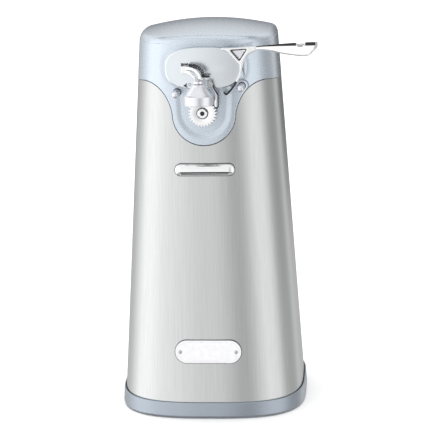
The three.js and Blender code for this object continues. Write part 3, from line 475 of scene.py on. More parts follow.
def matt(slot, dark, light, roughness, grain=1800, depth=0.02):
    """rubber, ceramic or dull plastic with a fine grain"""
    finish = Finish(slot, Specular_IOR_Level=0.3)
    finish.colour(finish.noise(grain / 6), dark, light)
    finish.roughness(finish.noise(grain), roughness - 0.06, roughness + 0.06)
    return finish.bump(finish.noise(grain, detail=2), depth, 0.5).material


def laminated(slot):
    """a stack of 0.5 mm steel sheets"""
    finish = Finish(slot, metallic=0.8)
    sheets = finish.bands(310, "Y", 0.2)
    finish.colour(sheets, (0.06, 0.06, 0.065), (0.2, 0.2, 0.21), 0.1, 0.5)
    return finish.roughness(finish.noise(900), 0.4, 0.55).bump(sheets, 0.12, 0.8).material


def wound(slot):
    """turns of enamelled wire"""
    finish = Finish(slot, metallic=0.9, Coat_Weight=0.5)
    turns = finish.bands(450, "Z", 0.8)
    finish.colour(turns, (0.22, 0.07, 0.02), (0.62, 0.25, 0.09), 0.2, 0.8)
    return finish.roughness(finish.noise(800), 0.25, 0.4).bump(turns, 0.2, 0.8).material


RECIPES = {
    "stainless": (brushed_stainless,),
    "housing": (painted, (0.59, 0.655, 0.725), (0.598, 0.663, 0.733), 0.85, 0.27, 0.25),
    "base": (painted, (0.355, 0.4, 0.453), (0.377, 0.42, 0.475), 0.85, 0.26, 0.2),
    "black_plastic": (matt, (0.012, 0.012, 0.013), (0.02, 0.02, 0.022), 0.5, 1600, 0.01),
    "chrome": (polished, (0.93, 0.93, 0.94), 0.05),
    "satin_plate": (painted, (0.745, 0.795, 0.83), (0.765, 0.81, 0.845), 1.0, 0.24, 0.0),
    "badge": (matt, (0.78, 0.78, 0.795), (0.83, 0.83, 0.845), 0.35, 2200, 0.002),
    "steel": (ground_metal, (0.55, 0.55, 0.56), 0.3),
    "cutting_steel": (ground_metal, (0.97, 0.97, 0.98), 0.16),
    "spun_chrome": (ground_metal, (0.83, 0.835, 0.885), 0.27, (1, 1, 0.1)),
    # blued_steel is also the dark finish of the outlines, post rings, hook and window edge that are painted
    # shade
    "blued_steel": (ground_metal, (0.05, 0.053, 0.06), 0.24),
    "brass": (ground_metal, (0.72, 0.53, 0.22), 0.3),
    "laminations": (laminated,),
    "winding": (wound,),
    "nylon": (matt, (0.74, 0.71, 0.62), (0.80, 0.77, 0.68), 0.45, 1500, 0.01),
    "rubber": (matt, (0.012, 0.012, 0.012), (0.03, 0.03, 0.03), 0.75),
    "magnet": (matt, (0.03, 0.03, 0.032), (0.06, 0.06, 0.063), 0.55, 2500, 0.03),
}
MATERIALS = {slot: make(slot, *values) for slot, (make, *values) in RECIPES.items()}


def register(piece, body, slot, *nodes, finish=None):
    """the piece rides on a body, takes a material slot and stands for the CAD nodes named"""
    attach(piece, body)
    if nodes:
        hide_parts(*nodes)
    piece.data.materials.clear()
    piece.data.materials.append(MATERIALS[finish or slot])


# ---- body surface ----
def half_sizes(z, grow=0):
    return HALF_WIDTH - WIDTH_TAPER * z + grow, HALF_DEPTH - DEPTH_TAPER * z + grow


def front_y(x, z, grow=0):
    half_width, half_depth = half_sizes(z, grow)
    share = min(1, abs(x) / half_width)
    return -half_depth * (1 - share ** FRONT_POWER) ** (1 / FRONT_POWER)


def shares_at(angle):
    """a point of the outline as shares of its half width and half depth"""
    power = FRONT_POWER if math.sin(angle) < 0 else REAR_POWER
    c, s = math.cos(angle), math.sin(angle)
    radial = (abs(c) ** power + abs(s) ** power) ** (-1 / power)
    return c * radial, s * radial


def shares_of(point, grow=0):
    half_width, half_depth = half_sizes(point[2], grow)
    return point[0] / half_width, point[1] / half_depth


def point_at(shares, z, grow=0):
    half_width, half_depth = half_sizes(z, grow)
    return shares[0] * half_width, shares[1] * half_depth, z


def outline_ring(z, grow, count=240):
    return [point_at(shares_at(2 * math.pi * i / count), z, grow) for i in range(count)]


def dome_height(x, y):
    side = DOME.side_drop * (x / DOME.side_reach) ** 2
    return HEIGHT - side - DOME.end_drop * (y / DOME.end_reach) ** 2


def apron_edge(margin, arc_steps=44, sweep_steps=56):
    """the joint line in front view, from the bottom of the apron out to its right shoulder"""
    radius = APRON.radius - margin
    rise = APRON.shoulder_z + margin - APRON.centre
    points = []
    for i in range(arc_steps):
        angle = math.pi / 2 * i / arc_steps
        points.append((radius * math.sin(angle), APRON.centre - radius * math.cos(angle)))
    start = Vector((radius, APRON.centre))
    lift = Vector((radius + APRON.lift[0], APRON.centre + APRON.lift[1] * rise))
    end = Vector((APRON.shoulder_x - margin, APRON.centre + rise))
    lead = end - Vector(APRON.lead)
    for i in range(sweep_steps + 1):
        t = i / sweep_steps
        points.append(tuple(start * (1 - t) ** 3 + lift * 3 * t * (1 - t) ** 2 + lead * 3 * t * t * (1 - t)
                            + end * t ** 3))
    return points


def seam_ring(margin, grow, side_steps=150):
    """a closed ring along the joint line, moved up into the head by a margin"""
    half = apron_edge(margin)
    ring = [(x, front_y(x, z, grow), z) for x, z in [(-x, z) for x, z in reversed(half[1:])] + half]
    shoulder = ring[-1]
    share_x, share_y = shares_of(shoulder, grow)
    start = math.atan2(share_y, share_x)
    level = shoulder[2] + SEAM_FALL * shoulder[1]
    for i in range(1, side_steps):
        shares = shares_at(start + (math.pi - 2 * start) * i / side_steps)
        z = SEAM_HEIGHT
        for _ in range(4):
            z = level - SEAM_FALL * point_at(shares, z, grow)[1]
        ring.append(point_at(shares, z, grow))
    return ring


# ---- shells ----
def body_sleeve(grow=-0.1, rows=50):
    """the brushed sleeve: a tube from inside the base ring up to the joint line, with a turned-in edge"""
    edge = seam_ring(SLEEVE.edge_margin, grow)
    rings = []
    for row in range(rows):
        ring = []
        for point in edge:
            z = SLEEVE.bottom + (point[2] - SLEEVE.bottom) * row / (rows - 1)
            ring.append(point_at(shares_of(point, grow), z, grow))
        rings.append(ring)
    for inward in SLEEVE.lip_inward:
        rings.append(seam_ring(SLEEVE.lip_margin, grow - inward))
    sleeve = skin("sleeve_shell", rings, cap_first=False, cap_last=False)
    register(sleeve, "root", "stainless", "body_sleeve")


def recess_depth(x, z):
    """how far the head's front is set back: an oval round the lever plate and a U down the apron"""
    across, up = x - RECESS.x, z - RECESS.z
    form = (abs(across) / RECESS.half_width) ** RECESS.power
    form = (form + (abs(up) / RECESS.half_height) ** RECESS.power) ** (1 / RECESS.power)
    inside_oval = (1 / max(form, 0.01) - 1) * math.hypot(across, up)
    above = z - APRON_RECESS.centre
    if above > 0:
        inside_apron = APRON_RECESS.half + APRON_RECESS.flare * above - abs(x)
    else:
        inside_apron = APRON_RECESS.half - math.hypot(x, above)
    inside_apron = min(inside_apron, APRON_RECESS.top - z)
    fade = 1 - RECESS.fade * smooth_step(up / RECESS.half_height, *RECESS.fade_span)
    oval = RECESS.depth * fade * smooth_step(inside_oval, *RECESS.edge)
    return max(oval, APRON_RECESS.depth * smooth_step(inside_apron, *APRON_RECESS.edge))


def head_housing(rows=130, fillet_steps=12):
    """the moulded head: a skirt above the joint line, a round shoulder and a domed top"""
    rings = [seam_ring(margin, grow) for margin, grow in HEAD.lip]
    edge = seam_ring(HEAD.margin, 0)
    shares = [shares_of(point) for point in edge]
    for row in range(rows):
        ring = []
        for share, point in zip(shares, edge):
            x, y, _ = point_at(share, HEIGHT - HEAD.edge)
            top = dome_height(x, y) - HEAD.edge
            z = point[2] + (top - point[2]) * row / rows
            x, y, _ = point_at(share, z)
            relief = -recess_depth(x, z) if y < HEAD.front_from else 0
            ring.append(point_at(share, z, relief))
        rings.append(ring)
    for step in range(fillet_steps + 1):
        angle = math.pi / 2 * step / fillet_steps
        ring = []
        for share in shares:
            x, y, _ = point_at(share, HEIGHT - HEAD.edge, -HEAD.edge * (1 - math.cos(angle)))
            ring.append((x, y, dome_height(x, y) - HEAD.edge * (1 - math.sin(angle))))
        rings.append(ring)
    rim = rings[-1]
    for scale in HEAD.dome_rings:
        rings.append([(x * scale, y * scale, dome_height(x * scale, y * scale)) for x, y, _ in rim])
    head = skin("head_shell", rings, cap_first=False)
    register(head, "root", "housing", "head_housing")


def head_leaf(count=64, steps=8):
    """a leaf-shaped rib on the head, beside the lever's fork"""
    rings = []
    for step in range(steps + 1):
        angle = math.pi / 2 * step / steps
        scale, rise = max(math.cos(angle), 0.02), LEAF.proud * math.sin(angle)
        ring = []
        for i in range(count):
            turn = 2 * math.pi * i / count
            reach = math.cos(turn) * abs(math.cos(turn)) ** LEAF.bluntness
            x = LEAF.x + LEAF.half_width * scale * reach
            z = LEAF.z + LEAF.half_height * scale * math.sin(turn)
            ring.append((x, front_y(x, z) + LEAF.sunk - rise, z))
        rings.append(ring)
    register(skin("head_leaf", rings), "root", "housing")


def head_hood():
    """a raised line on the head, round the upper right of a guide post, in the darker base paint as painted
    shade
    """
    post = middle_mm("guide_post_right")
    arc = []
    for degrees in range(HOOD.start, HOOD.end + 1, HOOD.step):
        angle = math.radians(degrees)
        x, z = post.x + HOOD.radius * math.cos(angle), post.z + HOOD.radius * math.sin(angle)
        arc.append((x, front_y(x, z) + HOOD.sunk, z))
    # the darker base paint on this line is painted shade in the arc round the post
    register(tube("head_hood", arc, HOOD.wire), "root", "housing", finish="base")


def base_ring():
    """the moulded ring round the foot of the sleeve, with a soft outer edge"""
    rings = [outline_ring(z, grow) for grow, z in rounded(RING_SECTION, 0.9, 5)]
    ring = skin("base_trim", rings, cap_first=False, cap_last=False)
    register(ring, "root", "base", "base_ring")


# ---- front trim ----
def bar_size(node):
    """the middle height, half length and end radius of a level bar with round ends"""
    low, high = node_mm(node)
    return (low.z + high.z) / 2, (high.x - low.x) / 2, (high.z - low.z) / 2


def bar_shade_outline(name, half_length, radius, z, y_front, y_back):
    """a thin dark outline behind a bar: painted shade round its edge"""
    outline = stadium(half_length, radius, z)
    return skin(name, [[(x, y, up) for x, up in outline] for y in (y_front, y_back)], 50)


def rail_front(height, depth, radius):
    """how far the rail's face stands out at a height from -1 to 1: a half-round with a ledge above its
    middle and a flat facet below it"""
    round_face = depth * math.sqrt(max(0, 1 - height ** 2))
    if height > RAIL.facet_top:
        within = (height - RAIL.ledge) / RAIL.ledge_width
        return round_face - (RAIL.ledge_depth * (1 - within) if 0 < within < 1 else 0)
    upper = depth * math.sqrt(1 - RAIL.facet_top ** 2)
    if height > RAIL.facet_low:
        return upper - RAIL.slope * radius * (RAIL.facet_top - height)
    lower = upper - RAIL.slope * radius * (RAIL.facet_top - RAIL.facet_low)
    share = (RAIL.facet_low - height) / (RAIL.facet_low + 1)
    return lower * math.sqrt(max(0, 1 - share ** 2))


def can_rest_bar(steps=90):
    """a polished rail with round ends, on a dark outline that is painted shade round it"""
    z, half_length, radius = bar_size("can_rest_bar")
    seat = front_y(0, z) - RAIL.seat
    depth = seat - node_mm("can_rest_bar")[0].y
    rings = [[(x, seat + RAIL.sunk, up) for x, up in stadium(half_length, radius, z)]]
    for step in range(steps + 1):
        inset = radius * (1 - math.cos(math.pi / 2 * step / steps)) * RAIL.flat_middle
        scale = math.sqrt(max(0, 1 - (1 - inset / radius) ** 2)) if step else 0
        ring = []
        for x, up in stadium(half_length - inset, radius - inset, z):
            straight = abs(x) < half_length - radius + 0.01
            out = rail_front((up - z) / radius, depth, radius) if straight else depth * scale
            ring.append((x, seat - min(out, depth * scale + RAIL.fullness), up))
        rings.append(ring)
    register(skin("can_rest_rail", rings, 12), "root", "chrome", "can_rest_bar")
    # a dark blued outline just past the rail's edge: painted shade round the rail
    margin = RAIL.bed_margin
    shade_outline = bar_shade_outline("can_rest_shade_outline", half_length + margin, radius + margin, z, seat - 0.5, seat + 0.8)
    register(shade_outline, "root", "chrome", finish="blued_steel")


def badge():
    """a blank metal badge with a raised rim, a groove inside it and a rivet at each end"""
    z, half_length, radius = bar_size("badge")
    front = node_mm("badge")[0].y
    rings = []
    for inset, behind in BADGE.section:
        outline = stadium(half_length - inset, radius - inset, z)
        rings.append([(x, front + BADGE.set_back + behind, up) for x, up in outline])
    register(skin("badge_plate", rings, 50), "root", "badge", "badge")
    # a dark blued outline just past the badge's edge: a painted shadow round the badge
    margin = BADGE.bed_margin
    shade_outline = bar_shade_outline("badge_shade_outline", half_length + margin, radius + margin, z, front + 0.75, front + 1.6)
    register(shade_outline, "root", "black_plastic", finish="blued_steel")
    for side in ("left", "right"):
        centre = middle_mm(f"badge_rivet_{side}")
        place = (centre.x, front + BADGE.rivet_seat, centre.z)
        rivet = turned(f"rivet_{side}", rounded(BADGE.rivet, 0.3), place, "Y", 32)
        register(rivet, "root", "steel", f"badge_rivet_{side}")


def guide_posts():
    """two round posts with domed ends, each on a dark ring in the apron that is painted shade round its foot
    """
    for side in ("left", "right"):
        low, high = node_mm(f"guide_post_{side}")
        length = high.y - low.y
        radius = min(high.x - low.x, high.z - low.z) / 2
        profile = [(0, 0), (radius, 0), (radius, length - 1.2), (radius - 0.8, length - 0.15), (0, length)]
        centre = ((low.x + high.x) / 2, high.y, (low.z + high.z) / 2)
        post = turned(f"post_{side}", rounded(profile, 0.7, 5), centre, "Y", 40, 60)
        register(post, "root", "chrome", f"guide_post_{side}", finish="spun_chrome")
        # a dark ring round each post's foot: painted contact shade
        place = (centre[0], front_y(centre[0], centre[2]) + POST_SHADE_RING.sunk, centre[2])
        section = disc_section(radius + POST_SHADE_RING.margin, POST_SHADE_RING.height)
        seat = turned(f"post_shade_ring_{side}", rounded(section, 0.15), place, "Y", 40)
        register(seat, "root", "chrome", finish="blued_steel")


# ---- feed wheel ----
def wheel_disc():
    """a hardened toothed wheel with slanted teeth and a ring groove"""
    low, high = node_mm("feed_wheel")
    centre = (low + high) / 2
    radius, front, back = (high.x - low.x) / 2, low.y, low.y + WHEEL.thickness
    spokes = []
    for number in range(WHEEL.teeth):
        for share, inset in WHEEL.tooth:
            angle = 2 * math.pi * (number + share) / WHEEL.teeth
            spokes.append((math.cos(angle), math.sin(angle), radius - inset))

    def toothed(scale, y):
        return [(centre.x + c * size * scale, y, centre.z + s * size * scale) for c, s, size in spokes]

    def plain(size, y):
        return [(centre.x + c * size, y, centre.z + s * size) for c, s, _ in spokes]

    groove = WHEEL.groove
    rings = [plain(WHEEL.hub, high.y), plain(WHEEL.hub, back), toothed(0.96, back), toothed(1, back - 0.25),
             toothed(1, front + 0.45), toothed(0.95, front), plain(WHEEL.face, front),
             plain(groove + 0.4, front), plain(groove, front + 0.12), plain(groove, front + 0.9),
             plain(WHEEL.bore, front + 0.9)]
    register(skin("feed_wheel_disc", rings, 28), "output", "cutting_steel", "feed_wheel")
    return centre, back


def feed_wheel():
    """the wheel on its washer, and its nut with a shim and a black plug in its socket, painted shade for the
    hole
    """
    centre, back = wheel_disc()
    low, high = node_mm("wheel_nut")
    length, outer = high.y - low.y, (high.x - low.x) / 2
    socket = WHEEL.socket
    profile = [(0, 0), (outer, 0), (outer, length - 0.5), (outer - 0.4, length), (socket + 0.15, length),
               (socket, length - 0.15), (socket, length - 1.0), (0, length - 1.0)]
    nut = turned("feed_wheel_nut", profile, (centre.x, high.y, centre.z), "Y", 48, 30)
    register(nut, "output", "cutting_steel", "wheel_nut")
    ring = rounded([(5.3, 0), (8, 0), (8, 0.8), (5.3, 0.8), (5.3, 0)], 0.2)
    washer = turned("wheel_washer", ring, (centre.x, back + 1, centre.z), "Y", 64)
    register(washer, "output", "black_plastic")
    shim = turned("nut_washer", rounded(disc_section(3.25, 0.4), 0.1),
                  (centre.x, high.y - length + 0.9, centre.z), "Y", 48)
    register(shim, "output", "steel", finish="blued_steel")
    # a black plug just inside the nut's socket: painted shade in the hole
    socket_shade = turned("wheel_socket_shade", rounded(disc_section(socket + 0.01, 0.5), 0.1),
                  (centre.x, low.y + 1.05, centre.z), "Y", 32)
    register(socket_shade, "output", "rubber")


# ---- lever ----
def fork_outline():
    """the root of the grip and the fork arm in front view"""
    return chain(
        catmull_rom([(12, 232.8), (20, 232.9), (28, 233.3), (33, 233.7)]),
        [(33, 231.2)],
        catmull_rom([(32.9, 231), (28.4, 228.9), (25.3, 224.6), (24.1, 219.6), (22.6, 215), (21, 212)]),
        catmull_rom([(20, 212.6), (21.6, 215.6), (22.7, 219.8), (22.6, 222.6)]),
        catmull_rom([(22.6, 222.6), (21.2, 224), (15.3, 230.6), (11, 231.7)]),
    )


def height_on(curve, x):
    """the height of an (x, z) curve that runs left to right, at x"""
    for (x0, z0), (x1, z1) in zip(curve, curve[1:]):
        if x0 <= x <= x1:
            return z0 + (z1 - z0) * (x - x0) / (x1 - x0)
    return curve[-1][1] if x > curve[-1][0] else curve[0][1]


def grip_section(x_top, x_low, z_top, z_low, dip, tip, levels=8):
    """one ring round the grip: its face from the low edge up, a bevel, the top and the back"""
    near, far = LEVER_Y.fork + GRIP.sunk, LEVER_Y.back - GRIP.sunk
    front = near + (LEVER_Y.grip_front - near) * smooth_step(x_top, *GRIP.front_span)
    rear = far + (LEVER_Y.grip_back - far) * smooth_step(x_top, *GRIP.rear_span)
    facet = max(0, (x_top - GRIP.facet_from) / GRIP.facet_length)
    face = front + GRIP.facet_depth * facet
    flatness = 1 - GRIP.dip_bevel * dip
    drop = (GRIP.bevel_root + GRIP.bevel_gain * smooth_step(x_top, *GRIP.bevel_span)) * flatness
    peak = max(min(front + drop / GRIP.bevel_slope, rear - 1), face + 0.3)
    base = z_low + GRIP.low_lift
    ring = []
    for level in range(levels + 1):
        share = level / levels
        x = x_low + (x_top - x_low) * share + tip * math.sin(math.pi * share)
        ring.append((x, face, base + (z_top - drop - base) * share))
    fall = GRIP.top_slope * (1 - dip) - GRIP.dip_slope * dip
    ring.append((x_top, peak, z_top))
    ring.append((x_top, rear, z_top - (rear - peak) * fall))
    ring.append((x_low, rear, z_low + 0.3))
    ring.append((x_low, min(face + GRIP.low_bevel, rear - 0.5), z_low))
    return ring


def grip(stations=90):
    """the finger grip: a face under a bevel that widens to the tip, a dip in the top, a slanted end facet"""
    top_edge, low_edge = catmull_rom(GRIP.top_line), catmull_rom(GRIP.low_line)
    rings = []
    for i in range(stations + 1):
        x_top = GRIP.root + GRIP.length * i / stations
        tip = smooth_step(x_top, *GRIP.tip_span)
        x_low = x_top - GRIP.slant * tip
        dip = smooth_step(GRIP.dip_half - abs(x_top - GRIP.dip_x), 0, GRIP.dip_ramp)
        z_top = height_on(top_edge, x_top) - GRIP.dip_depth * dip
        rings.append(grip_section(x_top, x_low, z_top, height_on(low_edge, x_low), dip, tip))
    piece = skin("lever_grip", rings)
    bevel(piece, 0.15, 2, 30)
    smooth_shading(piece, 8)
    return piece


def lever_handle():
    """one polished casting, the rim behind the plate and the fork, with its grip"""
    fork = prism("fork", fork_outline(), LEVER_Y.fork, LEVER_Y.back)
    bevel(fork, 0.5, 2)
    cut(fork, prism("window", WINDOW.corners, *CUT_THROUGH))
    outline = oval_ring(PLATE.x, PLATE.z, PLATE.half_width, PLATE.half_height, PLATE.power)
    rim = prism("rim", outline, LEVER_Y.frame, LEVER_Y.back)
    cut(rim, block("slot", RIM_SLOT.x, CUT_THROUGH, RIM_SLOT.z))
    register(cast([fork, rim], "lever_casting", 0.3, 4), "lever", "chrome", "lever_handle")
    register(grip(), "lever", "chrome", "lever_handle")


def fork_window():
    """a dark edge, painted shade round the rim, and a grey floor in the fork's three-cornered window"""
    corners = WINDOW.corners
    middle_x, middle_z = sum(x for x, _ in corners) / 3, sum(z for _, z in corners) / 3
    # the dark blued edge round the window stands for shade on its rim
    edge = prism("window_shade_edge", corners, *WINDOW.edge_y)
    scale = WINDOW.edge_scale
    inside = [(middle_x + (x - middle_x) * scale, middle_z + (z - middle_z) * scale) for x, z in corners]
    cut(edge, prism("inside", inside, *CUT_THROUGH))
    register(edge, "lever", "chrome", finish="blued_steel")
    floor_piece = prism("window_floor", corners, *WINDOW.floor_y)
    register(floor_piece, "lever", "satin_plate", finish="spun_chrome")


def lever_hook():
    """the hook at the low end of the fork, in the dark blued finish as painted shade on the chrome casting"""
    outer_side = catmull_rom([(21.3, 212.4), (18.8, 208.6), (14.9, 204.4), (12.9, 205.2)])
    inner_side = catmull_rom([(12.7, 206.6), (14.6, 205.7), (18, 209.3), (20.4, 212.8)])
    hook = prism("lever_hook", chain(outer_side, inner_side), *HOOK_Y)
    bevel(hook, 0.2, 2)
    # the hook belongs to the chrome casting; its dark blued finish is painted shade low in the recess
    register(hook, "lever", "chrome", "lever_handle", finish="blued_steel")


def lever_plate():
    """the satin cover of the lever: a crowned oval with a rolled edge and a slot for the magnet arm"""
    crown = PLATE.crown
    edge = PLATE_Y.back - PLATE_Y.front - crown
    rings = []
    for inset, share in PLATE.section:
        outline = oval_ring(PLATE.x, PLATE.z, PLATE.half_width - inset, PLATE.half_height - inset,
                            PLATE.power, 128)
        ring = []
        for x, z in outline:
            bulge = crown * (1 - ((x - PLATE.x) / PLATE.half_width) ** 2) if share else 0
            ring.append((x, PLATE_Y.back - edge * share - bulge, z))
        rings.append(ring)
    plate = skin("lever_cover", rings, 60)
    cut(plate, block("slot", PLATE_SLOT.x, CUT_THROUGH, PLATE_SLOT.z))
    register(plate, "lever", "satin_plate", "lever_plate")


# ---- magnet arm and magnet ----
def arm_spring():
    """a fine spring wound along a curve over the wires"""
    route = catmull_rom(SPRING.path, 24)
    coil = []
    for i, point in enumerate(route[:-1]):
        along = (Vector(route[i + 1]) - Vector(point)).normalized()
        side = along.cross(Vector((0, -1, 0))).normalized()
        angle = 2 * math.pi * SPRING.turns * i / (len(route) - 1)
        out = side * math.cos(angle) + along.cross(side) * math.sin(angle)
        coil.append(tuple(Vector(point) + SPRING.radius * out))
    register(tube("arm_spring", coil, SPRING.wire, 8, 2), "magnet_arm", "steel", finish="blued_steel")


def magnet_arm():
    """two bent wires from a barrel on the lever, ending in a pad over the magnet"""
    for name, points in (("arm_wire_outer", OUTER_WIRE), ("arm_wire_inner", INNER_WIRE)):
        register(tube(name, points, ARM_WIRE), "magnet_arm", "chrome", "magnet_arm")
    angles = [2 * math.pi * i / 32 for i in range(32)]
    radius, y, z = BARREL.radius, BARREL.y, BARREL.z
    rings = [[(x, y + radius * math.cos(a), z + radius * math.sin(a)) for a in angles] for x in BARREL.x]
    barrel = skin("arm_barrel", rings)
    bevel(barrel, 0.25)
    register(barrel, "magnet_arm", "chrome", "magnet_arm")
    lug = block("lug", BARREL.x, LUG.y, LUG.z)
    head = block("lug_head", BARREL.x, LUG.head_y, LUG.head_z)
    register(cast([lug, head], "arm_lug", 0.2, 5), "magnet_arm", "chrome", "magnet_arm")
    arm_spring()
    cup = middle_mm("magnet_cup")
    section = rounded(disc_section(ARM_PAD.radius, ARM_PAD.height), 0.3)
    pad = turned("arm_pad", section, (cup.x, cup.y, ARM_PAD.z), "Z", 48)
    register(pad, "magnet_arm", "chrome", "magnet_arm")


def magnet():
    """a spun cup with a cone and a straight rim, and a flat disc magnet inside"""
    centre = middle_mm("magnet_cup")
    place = (centre.x, centre.y, 0)
    cup = turned("magnet_shell", rounded(CUP_SECTION, 0.45, 5), place, "Z", 96, 50)
    register(cup, "magnet", "chrome", "magnet_cup", finish="spun_chrome")
    disc = turned("magnet_face", rounded(DISC_SECTION, 0.3), place, "Z", 72)
    register(disc, "magnet", "magnet", "magnet_disc")


# ---- cutter ----
def cutter():
    """the cutting blade: a light strip on a blued holder"""
    holder = prism("blade_holder", HOLDER.outline, *HOLDER.y)
    bevel(holder, 0.22, 2, 20)
    register(holder, "lever", "cutting_steel", "cutter_blade", finish="blued_steel")
    strip = prism("blade", BLADE.outline, *BLADE.y)
    bevel(strip, 0.15, 2, 20)
    register(strip, "lever", "cutting_steel", "cutter_blade", finish="spun_chrome")


def blade_mounting():
    """the block that the blade is fixed to, and two clips over its top"""
    low, high = node_mm("blade_bracket")
    left, right, below, above = BRACKET_INSETS
    x, z = (low.x + left, high.x - right), (low.z + below, high.z - above)
    bracket = block("bracket", x, (low.y, high.y), z)
    bevel(bracket, 0.6, 3)
    register(bracket, "lever", "steel", "blade_bracket", finish="base")
    for name, x, y, z, finish in CLIPS:
        clip = block(name, x, y, z)
        bevel(clip, 0.2, 2)
        register(clip, "lever", "steel", finish=finish)


def lever_stop():
    """a small pointed stop beside the magnet, with an eyelet"""
    register(prism("stop", STOP.outline, *STOP.y), "lever", "steel", finish="blued_steel")
    section = [(0.4, 0), (1, 0), (1, 0.4), (0.4, 0.4), (0.4, 0)]
    eyelet = turned("stop_ring", rounded(section, 0.1), STOP.eyelet, "Y", 24)
    register(eyelet, "lever", "steel")


def feet():
    for corner in ("front_left", "front_right", "rear_left", "rear_right"):
        low, high = node_mm(f"foot_{corner}")
        radius, length = (high.x - low.x) / 2, high.z - low.z
        profile = [(0, 0), (radius - 0.9, 0), (radius - 0.1, 0.7), (radius, length), (0, length)]
        place = ((low.x + high.x) / 2, (low.y + high.y) / 2, low.z)
        foot = turned(f"pad_{corner}", rounded(profile, 0.4), place, "Z", 48)
        register(foot, "root", "rubber", f"foot_{corner}")


body_sleeve()
head_housing()
head_leaf()
head_hood()
base_ring()
can_rest_bar()
badge()
guide_posts()
feed_wheel()
lever_handle()
fork_window()
lever_hook()
lever_plate()
magnet_arm()
magnet()
cutter()
blade_mounting()
lever_stop()
feet()

# ---- carried-over CAD nodes ----
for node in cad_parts.values():
    for slot in node.material_slots:
        known = slot.material.name.split(".")[0] if slot.material else ""
        slot.material = MATERIALS.get(known, MATERIALS["steel"])


# ---- studio ----
# brightness of the soft panels round the object, at azimuths in degrees from the front, + to the right
LOW_PANELS = [(-180, 0.06), (-168, 0.08), (-158, 0.5), (-135, 0.75), (-114, 1.15), (-97, 1.5), (-68, 1.52),
              (-45, 1.3), (-22, 1.18), (-8, 1.09), (-3, 0.95), (4, 0.74), (14, 0.56), (24, 0.64), (38, 0.94),
              (52, 1.17), (74, 1.17), (88, 1.02), (103, 0.62), (120, 0.42), (138, 0.46), (152, 0.8),
              (168, 0.08), (180, 0.06)]
HIGH_PANELS = [(-180, 1.0), (-140, 1.0), (-97, 1.35), (-45, 1.25), (-22, 1.14), (4, 0.85), (14, 0.7),
               (38, 0.9), (74, 1.1), (103, 0.6), (125, 0.6), (140, 0.9), (180, 1.0)]
UPPER_PANELS = [(-180, 0.04), (-128, 0.04), (-110, 0.8), (-45, 0.95), (0, 0.85), (40, 0.75), (95, 0.6),
                (115, 0.04), (180, 0.04)]
OVERHEAD = 1.0
UNDER = 0.5
LEAST_BELOW = 0.55  # the low panels are at least this bright below the horizon
# where one set of panels gives way to the next, as sines of the angle above the horizon
LOW_TO_HIGH = (0.0, 0.52)
BELOW_TO_LOW = (-0.22, -0.12)
WALL_TO_UPPER = (0.7, 0.73)
UPPER_TO_OVERHEAD = (0.785, 0.815)
UNDER_TO_BELOW = (-0.76, -0.7)
# a dark gap between the panels in front, low down
GAP = Sizes(low=-0.71, high=-0.59, blur=0.015, level=0.0, front_span=(0.1, 0.3))
FLOOR_SIZE = 4.0  # metres from the object to each edge of the floor
SUN = Sizes(softness=50, strength=2.2, towards=(-0.05, 0.1, 1))
CAMERA = Sizes(
    angles=(4.479, 11.409, -1.14),  # azimuth, elevation and roll in degrees
    distance=1.194, target=0.12, lens=151.37, sensor=36, shift=(0.01605, -0.01884))


def floor():
    mesh = bpy.data.meshes.new("floor")
    corners = [(x * FLOOR_SIZE, y * FLOOR_SIZE, 0) for x, y in ((-1, -1), (1, -1), (1, 1), (-1, 1))]
    mesh.from_pydata(corners, [], [(0, 1, 2, 3)])
    plane = add_object("floor", mesh)
    finish = Finish("floor_paint")
    finish.colour(finish.noise(3), (0.9, 0.9, 0.9), (0.93, 0.93, 0.93))
    finish.roughness(finish.noise(40), 0.6, 0.7)
    plane.data.materials.append(finish.material)
    plane.visible_glossy = False


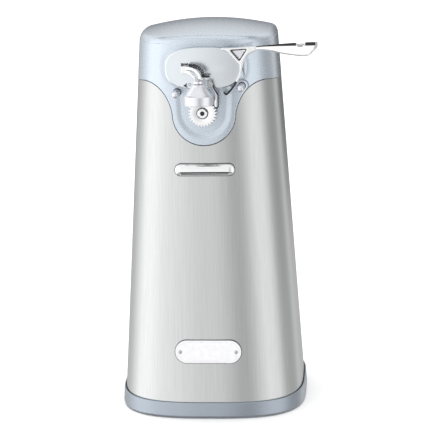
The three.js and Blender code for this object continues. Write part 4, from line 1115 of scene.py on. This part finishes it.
def panels():
    """the world: soft panels all round and overhead, and plain white where the camera sees past the object"""
    world = bpy.data.worlds.new("studio")
    bpy.context.scene.world = world
    world.use_nodes = True
    tree = world.node_tree

    def maths(operation, *values):
        return add_node(tree, "ShaderNodeMath", dict(enumerate(values)), operation=operation).outputs[0]

    place = add_node(tree, "ShaderNodeTexCoord").outputs["Generated"]
    direction = add_node(tree, "ShaderNodeSeparateXYZ", {"Vector": place}).outputs
    towards_front = maths("MULTIPLY", direction["Y"], -1.0)
    turn = maths("MULTIPLY_ADD", maths("ARCTAN2", direction["X"], towards_front), 0.5 / math.pi, 0.5)

    def all_round(levels):
        """brightness all round, from (azimuth, level) pairs"""
        made = add_node(tree, "ShaderNodeValToRGB", {"Fac": turn})
        stops = made.color_ramp.elements
        stops[0].color = stops[1].color = (*[levels[0][1]] * 3, 1)
        for azimuth, level in levels[1:-1]:
            stops.new(azimuth / 360 + 0.5).color = (level, level, level, 1)
        return made.outputs["Color"]

    def rise(low, high, source=direction["Z"]):
        inputs = {"Value": source, "From Min": low, "From Max": high}
        return add_node(tree, "ShaderNodeMapRange", inputs, interpolation_type="SMOOTHSTEP").outputs["Result"]

    def mix(factor, low, high):
        """from low to high as the factor rises, each a grey level or a colour socket"""
        low, high = ((end, end, end, 1) if isinstance(end, float) else end for end in (low, high))
        made = add_node(tree, "ShaderNodeMix", {"Factor": factor, 6: low, 7: high}, data_type="RGBA")
        return made.outputs[2]

    walls = mix(rise(*LOW_TO_HIGH), all_round(LOW_PANELS), all_round(HIGH_PANELS))
    below = [(azimuth, max(level, LEAST_BELOW)) for azimuth, level in LOW_PANELS]
    walls = mix(rise(*BELOW_TO_LOW), all_round(below), walls)
    walls = mix(rise(*WALL_TO_UPPER), walls, all_round(UPPER_PANELS))
    room = mix(rise(*UPPER_TO_OVERHEAD), walls, OVERHEAD)
    room = mix(rise(*UNDER_TO_BELOW), UNDER, room)
    above_low = rise(GAP.low - GAP.blur, GAP.low + GAP.blur)
    above_high = rise(GAP.high - GAP.blur, GAP.high + GAP.blur)
    in_front = rise(*GAP.front_span, towards_front)
    in_gap = maths("MULTIPLY", maths("SUBTRACT", above_low, above_high), in_front)
    room = mix(in_gap, room, GAP.level)
    seen = mix(add_node(tree, "ShaderNodeLightPath").outputs["Is Camera Ray"], room, 1.0)
    tree.links.new(seen, tree.nodes["Background"].inputs["Color"])


def overhead_light():
    """a wide, far light from above that whitens the floor and leaves a soft shadow round the foot"""
    light = bpy.data.lights.new("overhead", "SUN")
    light.angle = math.radians(SUN.softness)
    light.energy = SUN.strength
    lamp = add_object("overhead", light)
    lamp.rotation_euler = Vector(SUN.towards).to_track_quat("Z", "Y").to_euler()
    lamp.visible_glossy = False


def camera():
    """looks at the middle of the body from a little to the right and above"""
    azimuth, elevation, roll = (math.radians(angle) for angle in CAMERA.angles)
    level = math.cos(elevation)
    back = Vector((math.sin(azimuth) * level, -math.cos(azimuth) * level, math.sin(elevation)))
    data = bpy.data.cameras.new("camera")
    data.lens = CAMERA.lens
    data.sensor_width = CAMERA.sensor
    data.shift_x, data.shift_y = CAMERA.shift
    viewer = add_object("camera", data)
    turn = back.to_track_quat("Z", "Y").to_matrix().to_4x4() @ Matrix.Rotation(roll, 4, "Z")
    target = AXIS + Vector((0, 0, CAMERA.target))
    viewer.matrix_world = Matrix.Translation(target + back * CAMERA.distance) @ turn
    bpy.context.scene.camera = viewer


floor()
panels()
overhead_light()
camera()
bpy.context.scene.view_settings.view_transform = "Standard"
